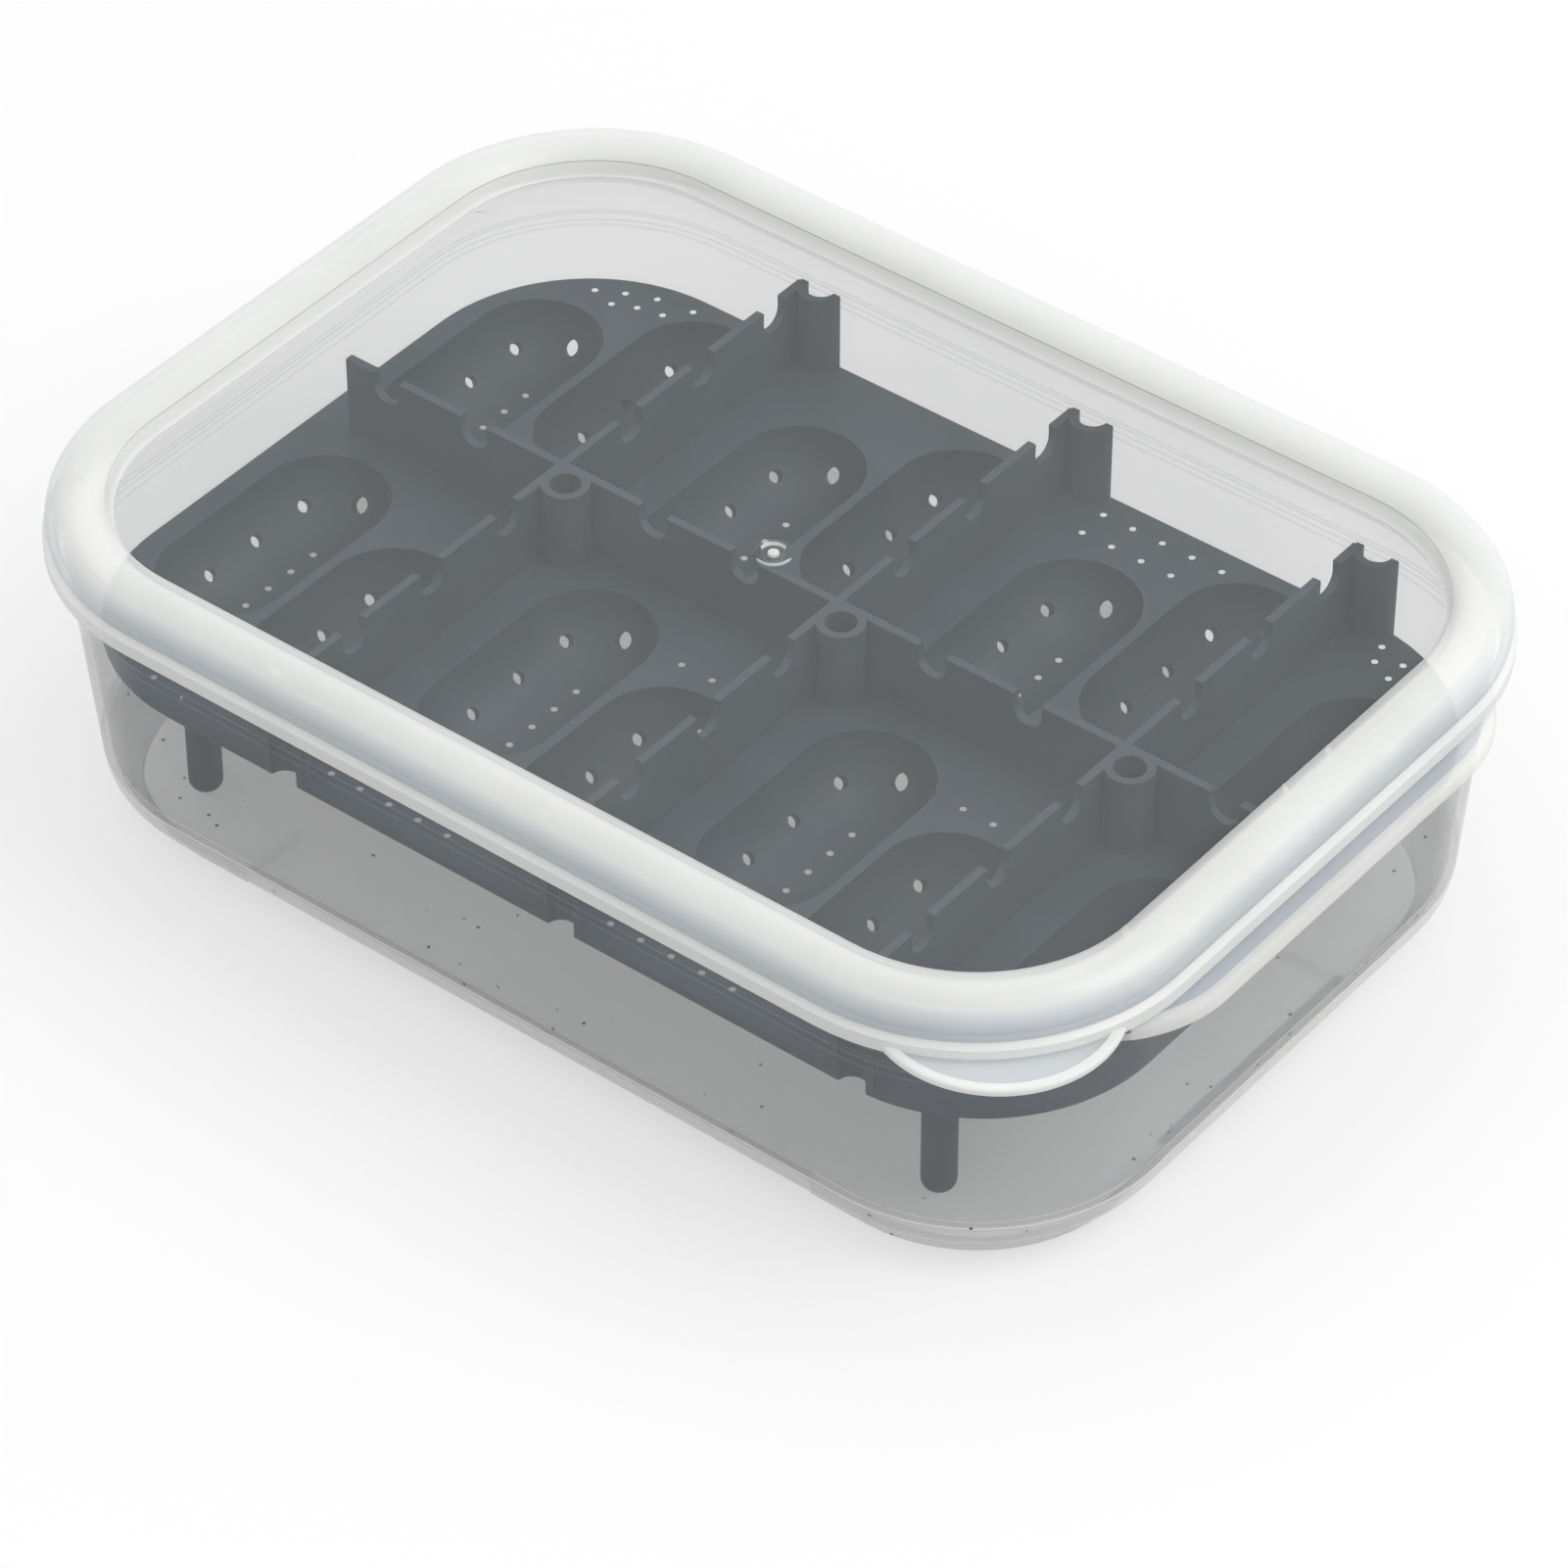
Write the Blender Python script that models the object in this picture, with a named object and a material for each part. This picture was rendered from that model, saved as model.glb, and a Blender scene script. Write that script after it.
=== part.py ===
"""Reptile egg breeding box: clear container, snap lid and dark egg tray.

Metres, +Z up. The origin lies on the table under the middle of the box,
X runs along the long side and Y towards the back. The lid lifts straight off,
and the tray lifts out after it.
"""
import math

import bmesh
import bpy
from mathutils import Matrix, Vector

MM = 0.001

# Fits between pieces
REST_GAP = 0.3 * MM            # a piece and what it rests on
CUT_OVERRUN = 1.0 * MM         # how far a cutter runs past what it cuts
JOIN_DEPTH = 0.4 * MM          # how far a joined form reaches into its carrier

# Container
RIM_LENGTH = 177.0 * MM        # outside of the wall at the rim, along X
RIM_WIDTH = 125.8 * MM
RIM_RADIUS = 30.4 * MM
FOOT_HEIGHT = 3.0 * MM
BODY_WALL_TOP = 44.0 * MM      # where the taper ends and the upright rim starts
RIM_TOP = 50.4 * MM
CONTAINER_WALL = 1.2 * MM
RIM_WALL = 0.9 * MM            # the rim is thinner above its inner step
INNER_STEP_DROP = 7.0 * MM     # inner step below the taper's end
INNER_STEP_HEIGHT = 1.6 * MM
TAPER_X = 1.7 * MM             # how far each wall leans in at the fillet
TAPER_Y = 3.4 * MM
TAPER_RADIUS = 1.6 * MM
BASE_FILLET = 6.6 * MM
FLOOR_THICKNESS = 1.1 * MM

# Corner feet of the container
FOOT_INSET = 1.4 * MM          # foot outline outside the flat base
FOOT_WIDTH = 11.0 * MM
FOOT_RUN_X = 9.0 * MM          # straight run of a foot past the corner's arc
FOOT_RUN_Y = 10.0 * MM
FOOT_DRAFT = 0.6 * MM

# End grips of the container, one on each short side
GRIP_REACH = 5.9 * MM          # beyond the rim's wall
GRIP_LENGTH = 96.0 * MM
GRIP_CORNER = 21.5 * MM
GRIP_THICKNESS = 1.6 * MM

# Lid
BEAD_RADIUS = 4.65 * MM
BEAD_INSET = 2.3 * MM          # bead's centre line inside the rim's outside
BEAD_ABOVE_TAPER = 4.7 * MM    # bead's centre line above BODY_WALL_TOP
LID_WALL = 1.0 * MM
SKIRT_OFFSET = 3.95 * MM       # outside of the skirt from the bead's centre line
SKIRT_DROP = 1.9 * MM          # crease below the bead's centre line
LIP_WIDTH = 1.15 * MM
LIP_HEIGHT = 2.8 * MM
PANEL_EDGE_OFFSET = 6.4 * MM   # recessed panel's edge inside the centre line
PANEL_WALL_RISE = 1.1 * MM
TAB_RADIUS = 16.8 * MM
TAB_DIAGONAL = 22.6 * MM        # tab's centre beyond the corner arc's centre
TAB_THICKNESS = 1.3 * MM
GATE_RADIUS = 2.65 * MM        # moulded ring in the middle of the lid
GATE_RING_WIDTH = 0.7 * MM
GATE_HEIGHT = 0.5 * MM
GATE_NUB_RADIUS = 0.95 * MM

# Egg tray
TRAY_GAP_X = 0.85 * MM         # plate's edge from the container's inside, on each side
TRAY_GAP_Y = 2.0 * MM
TRAY_GAP_CORNER = 1.25 * MM    # how much smaller the plate's corner radius is
TRAY_THICKNESS = 1.4 * MM
TRAY_LEVEL = 25.1 * MM         # plate's top above the container's floor
BAY_SHARES = (-1.5, -0.5, 0.5, 1.5)    # middle of each bay's first trough, in bay pitches
TROUGH_WALL = 1.2 * MM
TROUGH_WEB = 1.5 * MM          # between the two troughs of a bay
TROUGH_EDGE_X = 2.7 * MM       # outermost trough's wall from the plate's edge
TROUGH_EDGE_Y = 2.7 * MM
TROUGH_STAGGER_Y = 9.8 * MM    # second trough of a bay from the first
TROUGH_TO_LONG_DIVIDER = 0.65 * MM     # back row's front end behind the long divider
FRONT_ROW_GAP = 5.2 * MM       # front row's far end from the middle of the long divider

# Dividers on the tray
DIVIDER_HEIGHT = 12.4 * MM
DIVIDER_THICKNESS = 1.3 * MM
DIVIDER_BEHIND_TROUGH = 0.75 * MM      # middle of a cross divider from the trough on its left
DIVIDER_TUBE_ROOM = 6.75 * MM  # and from the trough on its right, where its tubes stand
LONG_DIVIDER_Y = 4.3 * MM
LONG_DIVIDER_INSET = 6.2 * MM
SLOT_RADIUS = 2.4 * MM         # round bottomed slots in the dividers' tops
SLOT_DEPTH = 4.3 * MM
SLOTS_PER_BAY = 3
LONG_SLOT_STEPS = (-4.5, -3.5, -1.5, -0.5, 1.5, 2.5, 4.5)
CROSS_SLOT_BACK = 14.2 * MM    # first slot behind the long divider
CROSS_SLOT_BACK_EDGE = 7.6 * MM        # last one from the plate's edge
CROSS_SLOT_FRONT = 12.4 * MM   # first slot in front of the long divider
CROSS_SLOT_FRONT_EDGE = 18.0 * MM
CROSS_SLOT_COUNT = 3

# Tubes where dividers cross, and half tubes at their ends
TUBE_RADIUS = 3.45 * MM
TUBE_BORE = 2.25 * MM

# Legs under the tray
LEG_RADIUS = 2.45 * MM
LEG_INSET_X = 21.85 * MM       # from the plate's edges
LEG_INSET_Y = 12.1 * MM

# Air holes in the troughs, measured from a trough's front end
SIDE_HOLE_RADIUS = 1.1 * MM
SIDE_HOLE_FIRST = 14.0 * MM
SIDE_HOLE_PITCH = 9.7 * MM
SIDE_HOLE_COUNT = 3
SIDE_HOLE_ANGLE = math.radians(45)
END_HOLE_RADIUS = 1.5 * MM
END_HOLE_ANGLE = math.radians(38)

# Fineness of round forms
CORNER_STEPS = 7
FILLET_STEPS = 3
BEAD_STEP = math.radians(30)
TUBE_SIDES = 16
LEG_SIDES = 14
TROUGH_SEGMENTS = 16
HOLE_SIDES = 6

# Places worked out from the sizes above
FLOOR_TOP = FOOT_HEIGHT + FLOOR_THICKNESS
BEAD_X = RIM_LENGTH / 2 - BEAD_INSET
BEAD_Y = RIM_WIDTH / 2 - BEAD_INSET
BEAD_CORNER = RIM_RADIUS - BEAD_INSET
BEAD_Z = BODY_WALL_TOP + BEAD_ABOVE_TAPER
CREASE_Z = BEAD_Z - SKIRT_DROP
LIP_BOTTOM = CREASE_Z - LIP_HEIGHT
GRIP_TOP = LIP_BOTTOM - REST_GAP
TRAY_TOP = FLOOR_TOP + TRAY_LEVEL
TRAY_UNDER = TRAY_TOP - TRAY_THICKNESS
TRAY_LEAN = (BODY_WALL_TOP - TRAY_UNDER) / (BODY_WALL_TOP - FOOT_HEIGHT - BASE_FILLET)
TRAY_X = RIM_LENGTH / 2 - TAPER_X * TRAY_LEAN - CONTAINER_WALL - TRAY_GAP_X
TRAY_Y = RIM_WIDTH / 2 - TAPER_Y * TRAY_LEAN - CONTAINER_WALL - TRAY_GAP_Y
TRAY_RADIUS = RIM_RADIUS - TAPER_RADIUS * TRAY_LEAN - CONTAINER_WALL - TRAY_GAP_CORNER
DIVIDER_TOP = TRAY_TOP + DIVIDER_HEIGHT
TUBE_SHIFT = TUBE_RADIUS - DIVIDER_THICKNESS / 4
LEG_X = TRAY_X - LEG_INSET_X
LEG_Y = TRAY_Y - LEG_INSET_Y

# A bay is two troughs, the web between them and a cross divider with its room
BAY_REST = TROUGH_WEB + DIVIDER_BEHIND_TROUGH + DIVIDER_TUBE_ROOM
BAY_END = BAY_SHARES[-1]
TROUGH_ROOM_X = TRAY_X - TROUGH_EDGE_X - TROUGH_WALL - BAY_END * BAY_REST
TROUGH_RADIUS = TROUGH_ROOM_X / (1 + 4 * BAY_END)
BAY_PITCH = 4 * TROUGH_RADIUS + BAY_REST
TROUGH_STAGGER_X = 2 * TROUGH_RADIUS + TROUGH_WEB
BACK_ROW_START = LONG_DIVIDER_Y + DIVIDER_THICKNESS / 2 + TROUGH_TO_LONG_DIVIDER
TROUGH_LENGTH = TRAY_Y - TROUGH_EDGE_Y - TROUGH_STAGGER_Y - BACK_ROW_START
FRONT_ROW_START = LONG_DIVIDER_Y - FRONT_ROW_GAP - TROUGH_LENGTH
CROSS_DIVIDERS = [share * BAY_PITCH - TROUGH_RADIUS - DIVIDER_TUBE_ROOM
                  for share in BAY_SHARES[1:]]
SLOT_PITCH = BAY_PITCH / SLOTS_PER_BAY
CROSS_SLOT_GAPS = CROSS_SLOT_COUNT - 1
BACK_SLOT_PITCH = (TRAY_Y - LONG_DIVIDER_Y
                   - CROSS_SLOT_BACK - CROSS_SLOT_BACK_EDGE) / CROSS_SLOT_GAPS
FRONT_SLOT_PITCH = (TRAY_Y + LONG_DIVIDER_Y
                    - CROSS_SLOT_FRONT - CROSS_SLOT_FRONT_EDGE) / CROSS_SLOT_GAPS


def clear_scene():
    """Remove what the opened file holds."""
    for old in list(bpy.data.objects):
        bpy.data.objects.remove(old, do_unlink=True)


def make_collection(name):
    group = bpy.data.collections.new(name)
    bpy.context.scene.collection.children.link(group)
    return group


def make_material(name, colour, roughness, alpha=1.0):
    material = bpy.data.materials.new(name)
    material.use_nodes = True
    shader = material.node_tree.nodes["Principled BSDF"]
    shader.inputs["Base Color"].default_value = (*colour, 1.0)
    shader.inputs["Roughness"].default_value = roughness
    shader.inputs["Metallic"].default_value = 0.0
    shader.inputs["Alpha"].default_value = alpha
    return material


def add_object(name, mesh_maker, group, material=None):
    """Turn a finished bmesh into a named object."""
    mesh = bpy.data.meshes.new(name)
    bmesh.ops.recalc_face_normals(mesh_maker, faces=mesh_maker.faces)
    mesh_maker.to_mesh(mesh)
    mesh_maker.free()
    made = bpy.data.objects.new(name, mesh)
    group.objects.link(made)
    if material:
        mesh.materials.append(material)
    return made


def rounded_ring(half_x, half_y, radius, z):
    """Points of a rounded rectangle, anticlockwise seen from above."""
    points = []
    for quarter, (side_x, side_y) in enumerate(((1, 1), (-1, 1), (-1, -1), (1, -1))):
        centre_x = side_x * (half_x - radius)
        centre_y = side_y * (half_y - radius)
        for step in range(CORNER_STEPS + 1):
            angle = math.pi / 2 * (quarter + step / CORNER_STEPS)
            points.append((centre_x + radius * math.cos(angle),
                           centre_y + radius * math.sin(angle), z))
    return points


def loft(rings):
    """Closed skin over rings with equal counts; the first and last are capped."""
    skin = bmesh.new()
    loops = [[skin.verts.new(point) for point in ring] for ring in rings]
    count = len(loops[0])
    for lower, upper in zip(loops, loops[1:]):
        for index in range(count):
            following = (index + 1) % count
            skin.faces.new((lower[index], lower[following], upper[following], upper[index]))
    skin.faces.new(reversed(loops[0]))
    skin.faces.new(loops[-1])
    return skin


def cylinder(radius, low, high, x, y, sides, top_radius=None):
    """Upright cylinder or cone frustum from low to high."""
    shape = bmesh.new()
    bmesh.ops.create_cone(shape, cap_ends=True, segments=sides, radius1=radius,
                          radius2=radius if top_radius is None else top_radius,
                          depth=high - low)
    bmesh.ops.translate(shape, verts=shape.verts, vec=(x, y, (low + high) / 2))
    return shape


def box(low, high):
    """Box between two opposite corners."""
    shape = bmesh.new()
    size = Vector(high) - Vector(low)
    bmesh.ops.create_cube(shape, size=1.0, matrix=Matrix.Diagonal((*size, 1.0)))
    bmesh.ops.translate(shape, verts=shape.verts, vec=(Vector(high) + Vector(low)) / 2)
    return shape


def as_cutter(piece):
    piece.hide_render = True
    piece.display_type = "WIRE"
    return piece


def combine(piece, group, operation):
    """Boolean of a piece with every object of a collection."""
    modifier = piece.modifiers.new(operation.lower(), "BOOLEAN")
    modifier.operation = operation
    modifier.operand_type = "COLLECTION"
    modifier.collection = group
    modifier.solver = "EXACT"


def finish_round(piece):
    piece.data.shade_smooth()
    piece.data.set_sharp_from_angle(angle=math.radians(40))


# Container

def wall_ring(height, inset):
    """Ring of the container's wall at a height above the fillet, pulled in by inset."""
    fillet_top = FOOT_HEIGHT + BASE_FILLET
    lean = max(0.0, (BODY_WALL_TOP - height) / (BODY_WALL_TOP - fillet_top))
    return rounded_ring(RIM_LENGTH / 2 - TAPER_X * lean - inset,
                        RIM_WIDTH / 2 - TAPER_Y * lean - inset,
                        RIM_RADIUS - TAPER_RADIUS * lean - inset, height)


def fillet_rings(inset, bottom):
    """Rings from the flat floor up to the wall, round at the fillet's radius."""
    fillet_top = FOOT_HEIGHT + BASE_FILLET
    reach = BASE_FILLET - inset
    rings = []
    for step in range(FILLET_STEPS):
        angle = math.pi / 2 * step / FILLET_STEPS
        pull = inset + reach * (1 - math.sin(angle))
        height = bottom + (fillet_top - bottom) * (1 - math.cos(angle))
        rings.append(rounded_ring(RIM_LENGTH / 2 - TAPER_X - pull,
                                  RIM_WIDTH / 2 - TAPER_Y - pull,
                                  RIM_RADIUS - TAPER_RADIUS - pull, height))
    return rings


def container_shell():
    """Open box with an upright rim and a step inside."""
    step_low = BODY_WALL_TOP - INNER_STEP_DROP
    outside = fillet_rings(0.0, FOOT_HEIGHT)
    outside.append(wall_ring(FOOT_HEIGHT + BASE_FILLET, 0.0))
    outside.append(wall_ring(BODY_WALL_TOP, 0.0))
    rim = [wall_ring(RIM_TOP - RIM_WALL / 3, 0.0), wall_ring(RIM_TOP, RIM_WALL / 3),
           wall_ring(RIM_TOP, RIM_WALL * 2 / 3), wall_ring(RIM_TOP - RIM_WALL / 3, RIM_WALL)]
    inside = [wall_ring(step_low + INNER_STEP_HEIGHT, RIM_WALL),
              wall_ring(step_low, CONTAINER_WALL),
              wall_ring(FOOT_HEIGHT + BASE_FILLET, CONTAINER_WALL)]
    inside += reversed(fillet_rings(CONTAINER_WALL, FLOOR_TOP))
    return loft(outside + rim + inside)


def foot_half(side_x, side_y):
    """One corner foot: a band that follows the base's corner and runs on past it."""
    pull = BASE_FILLET - FOOT_INSET
    half_x = RIM_LENGTH / 2 - TAPER_X - pull
    half_y = RIM_WIDTH / 2 - TAPER_Y - pull
    radius = RIM_RADIUS - TAPER_RADIUS - pull
    centre_x, centre_y = half_x - radius, half_y - radius
    bottom, top = 0.0, FOOT_HEIGHT + JOIN_DEPTH

    def band(radial, z):
        """Outline of the foot pulled in by radial on every side."""
        outer, inner = radius - radial, radius - FOOT_WIDTH + radial
        run_x, run_y = FOOT_RUN_X - radial, FOOT_RUN_Y - radial
        points = [(centre_x + outer, centre_y - run_y)]
        for step in range(CORNER_STEPS + 1):
            angle = math.pi / 2 * step / CORNER_STEPS
            points.append((centre_x + outer * math.cos(angle), centre_y + outer * math.sin(angle)))
        points.append((centre_x - run_x, centre_y + outer))
        points.append((centre_x - run_x, centre_y + inner))
        for step in range(CORNER_STEPS, -1, -1):
            angle = math.pi / 2 * step / CORNER_STEPS
            points.append((centre_x + inner * math.cos(angle), centre_y + inner * math.sin(angle)))
        points.append((centre_x + inner, centre_y - run_y))
        return [(side_x * x, side_y * y, z) for x, y in points]

    return loft([band(FOOT_DRAFT, bottom), band(0.0, bottom + FOOT_DRAFT), band(0.0, top)])


def grip(side):
    """Flat grip on a short side, with round outer corners."""
    shape = bmesh.new()
    wall_x = RIM_LENGTH / 2
    reach = wall_x + GRIP_REACH
    outline = [(wall_x - RIM_RADIUS / 2, -GRIP_LENGTH / 2)]
    for quarter in (0, 1):
        centre_y = (GRIP_LENGTH / 2 - GRIP_CORNER) * (1 if quarter else -1)
        for step in range(CORNER_STEPS + 1):
            angle = math.pi / 2 * (quarter - 1 + step / CORNER_STEPS)
            outline.append((reach - GRIP_CORNER + GRIP_CORNER * math.cos(angle),
                            centre_y + GRIP_CORNER * math.sin(angle)))
    outline.append((wall_x - RIM_RADIUS / 2, GRIP_LENGTH / 2))
    base = [shape.verts.new((side * x, y, GRIP_TOP - GRIP_THICKNESS)) for x, y in outline]
    face = shape.faces.new(base)
    grown = bmesh.ops.extrude_face_region(shape, geom=[face])
    moved = [item for item in grown["geom"] if isinstance(item, bmesh.types.BMVert)]
    bmesh.ops.translate(shape, verts=moved, vec=(0.0, 0.0, GRIP_THICKNESS))
    return shape


def make_container(parts, joined, cut, material):
    """Shell, four feet and two grips in one moulding, hollow inside."""
    container = add_object("container", container_shell(), parts, material)
    for side_x in (-1, 1):
        for side_y in (-1, 1):
            name = f"foot_{'right' if side_x > 0 else 'left'}_{'back' if side_y > 0 else 'front'}"
            as_cutter(add_object(name, foot_half(side_x, side_y), joined))
        name = "grip_right" if side_x > 0 else "grip_left"
        as_cutter(add_object(name, grip(side_x), joined))
    combine(container, joined, "UNION")
    middle = CONTAINER_WALL / 2
    hollow = loft([wall_ring(GRIP_TOP - GRIP_THICKNESS - CUT_OVERRUN, RIM_WALL),
                   wall_ring(GRIP_TOP + middle, RIM_WALL)])
    as_cutter(add_object("grip_trim", hollow, cut))
    combine(container, cut, "DIFFERENCE")
    finish_round(container)
    return container


# Lid

def bead_ring(offset, z):
    """Ring beside the bead's centre line, outwards for a positive offset."""
    return rounded_ring(BEAD_X + offset, BEAD_Y + offset, BEAD_CORNER + offset, z)


def bead_arc(radius, start, stop):
    """Rings round the bead from one angle to another, zero on its outer side."""
    steps = round(abs(stop - start) / BEAD_STEP)
    rings = []
    for step in range(steps + 1):
        angle = start + (stop - start) * step / steps
        rings.append(bead_ring(radius * math.cos(angle), BEAD_Z + radius * math.sin(angle)))
    return rings


def lid_shell():
    """Recessed panel, hollow bead, skirt and lip as one thin skin."""
    hollow_radius = BEAD_RADIUS - LID_WALL
    panel_top = BEAD_Z
    panel_under = panel_top - LID_WALL
    inner_skirt = SKIRT_OFFSET - LID_WALL
    under = [bead_ring(-PANEL_EDGE_OFFSET - PANEL_WALL_RISE, panel_under),
             bead_ring(-hollow_radius - LID_WALL / 2, panel_under)]
    under += bead_arc(hollow_radius, math.pi, 0.0)
    under.append(bead_ring(inner_skirt, CREASE_Z))
    under.append(bead_ring(inner_skirt, LIP_BOTTOM))
    lip = [bead_ring(SKIRT_OFFSET + LIP_WIDTH, LIP_BOTTOM),
           bead_ring(SKIRT_OFFSET + LIP_WIDTH, CREASE_Z - LIP_HEIGHT / 3),
           bead_ring(SKIRT_OFFSET, CREASE_Z)]
    over = bead_arc(BEAD_RADIUS, 0.0, math.radians(165))
    over.append(bead_ring(-PANEL_EDGE_OFFSET, panel_top))
    return loft(under + lip + over)


def make_lid(parts, joined, cut, material):
    """Lid with a pull tab at the front right corner and a moulded ring in the middle."""
    lid = add_object("lid", lid_shell(), parts, material)
    reach = TAB_DIAGONAL / math.sqrt(2)
    tab = cylinder(TAB_RADIUS, LIP_BOTTOM, LIP_BOTTOM + TAB_THICKNESS,
                   BEAD_X - BEAD_CORNER + reach, -(BEAD_Y - BEAD_CORNER + reach), 4 * CORNER_STEPS)
    as_cutter(add_object("pull_tab", tab, joined))
    ring = cylinder(GATE_RADIUS, BEAD_Z - JOIN_DEPTH, BEAD_Z + GATE_HEIGHT, 0.0, 0.0, TUBE_SIDES)
    as_cutter(add_object("gate_ring", ring, joined))
    combine(lid, joined, "UNION")
    room = loft([bead_ring(SKIRT_OFFSET - LID_WALL, LIP_BOTTOM - CUT_OVERRUN),
                 bead_ring(SKIRT_OFFSET - LID_WALL, CREASE_Z)])
    as_cutter(add_object("rim_room", room, cut))
    well = cylinder(GATE_RADIUS - GATE_RING_WIDTH, BEAD_Z, BEAD_Z + GATE_HEIGHT + CUT_OVERRUN,
                    0.0, 0.0, TUBE_SIDES)
    as_cutter(add_object("gate_well", well, cut))
    combine(lid, cut, "DIFFERENCE")
    return lid


def make_gate_nub(lid, late):
    """Small pin in the middle of the moulded ring."""
    nub = cylinder(GATE_NUB_RADIUS, BEAD_Z - JOIN_DEPTH, BEAD_Z + GATE_HEIGHT, 0.0, 0.0, HOLE_SIDES * 2)
    as_cutter(add_object("gate_nub", nub, late))
    combine(lid, late, "UNION")
    finish_round(lid)


# Egg tray

def trough_places():
    """Front end of each trough's centre line, as x and y."""
    places = []
    for start, shift in ((BACK_ROW_START, TROUGH_STAGGER_Y), (FRONT_ROW_START, -TROUGH_STAGGER_Y)):
        for share in BAY_SHARES:
            places.append((share * BAY_PITCH, start))
        for share in BAY_SHARES[:-1]:
            places.append((share * BAY_PITCH + TROUGH_STAGGER_X, start + shift))
    return places


def capsule(radius, x, start, centre_z, flat_top=None):
    """Lying capsule with round ends, cut level at flat_top if that is given."""
    shape = bmesh.new()
    bmesh.ops.create_uvsphere(shape, u_segments=TROUGH_SEGMENTS, v_segments=TROUGH_SEGMENTS // 2,
                              radius=radius, matrix=Matrix.Rotation(math.pi / 2, 4, "X"))
    equator = [vert for vert in shape.verts if abs(vert.co.y) < radius / TROUGH_SEGMENTS]
    belt = [edge for edge in shape.edges if all(vert in equator for vert in edge.verts)]
    split = bmesh.ops.split_edges(shape, edges=belt)["edges"]
    back = set()
    for vert in shape.verts:
        if vert.co.y > radius / TROUGH_SEGMENTS:
            back.add(vert)
        elif vert in {end for edge in split for end in edge.verts} or vert in equator:
            if any(face.calc_center_median().y > 0 for face in vert.link_faces):
                back.add(vert)
    bmesh.ops.translate(shape, verts=list(back), vec=(0.0, TROUGH_LENGTH - 2 * TROUGH_RADIUS, 0.0))
    open_edges = [edge for edge in shape.edges if edge.is_boundary]
    bmesh.ops.bridge_loops(shape, edges=open_edges)
    bmesh.ops.translate(shape, verts=shape.verts, vec=(x, start + TROUGH_RADIUS, centre_z))
    if flat_top is not None:
        everything = shape.verts[:] + shape.edges[:] + shape.faces[:]
        bmesh.ops.bisect_plane(shape, geom=everything, plane_co=(0.0, 0.0, flat_top),
                               plane_no=(0.0, 0.0, 1.0), clear_outer=True)
        bmesh.ops.holes_fill(shape, edges=[edge for edge in shape.edges if edge.is_boundary])
    return shape


def leg(x, y):
    """Round leg with a domed end that stands on the container's floor."""
    low = FLOOR_TOP + REST_GAP
    shape = bmesh.new()
    bmesh.ops.create_cone(shape, cap_ends=True, segments=LEG_SIDES, radius1=LEG_RADIUS / 2,
                          radius2=LEG_RADIUS, depth=LEG_RADIUS / 2)
    bmesh.ops.translate(shape, verts=shape.verts, vec=(0.0, 0.0, LEG_RADIUS / 4))
    top = [face for face in shape.faces if face.normal.z > 1 / 2]
    grown = bmesh.ops.extrude_face_region(shape, geom=top)
    bmesh.ops.delete(shape, geom=top, context="FACES_ONLY")
    moved = [item for item in grown["geom"] if isinstance(item, bmesh.types.BMVert)]
    rise = TRAY_UNDER + JOIN_DEPTH - low - LEG_RADIUS / 2
    bmesh.ops.translate(shape, verts=moved, vec=(0.0, 0.0, rise))
    bmesh.ops.translate(shape, verts=shape.verts, vec=(x, y, low))
    return shape


def slot_cutter(x, y, across_x):
    """Round bottomed slot through a divider's top edge."""
    bottom = DIVIDER_TOP - SLOT_DEPTH + SLOT_RADIUS
    turn = Matrix.Rotation(math.pi / 2, 4, "X" if across_x else "Y")
    shape = bmesh.new()
    bmesh.ops.create_cone(shape, cap_ends=True, segments=TUBE_SIDES, radius1=SLOT_RADIUS,
                          radius2=SLOT_RADIUS, depth=DIVIDER_THICKNESS + 2 * CUT_OVERRUN, matrix=turn)
    for vert in shape.verts:
        if vert.co.z > 0:
            vert.co.z = DIVIDER_TOP + CUT_OVERRUN - bottom
    bmesh.ops.translate(shape, verts=shape.verts, vec=(x, y, bottom))
    return shape


def hole_cutter(radius, centre, direction, length):
    """Round cutter through a point, along a direction."""
    turn = Vector(direction).to_track_quat("Z", "Y").to_matrix().to_4x4()
    shape = bmesh.new()
    bmesh.ops.create_cone(shape, cap_ends=True, segments=HOLE_SIDES, radius1=radius,
                          radius2=radius, depth=length, matrix=Matrix.Translation(centre) @ turn)
    return shape


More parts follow.
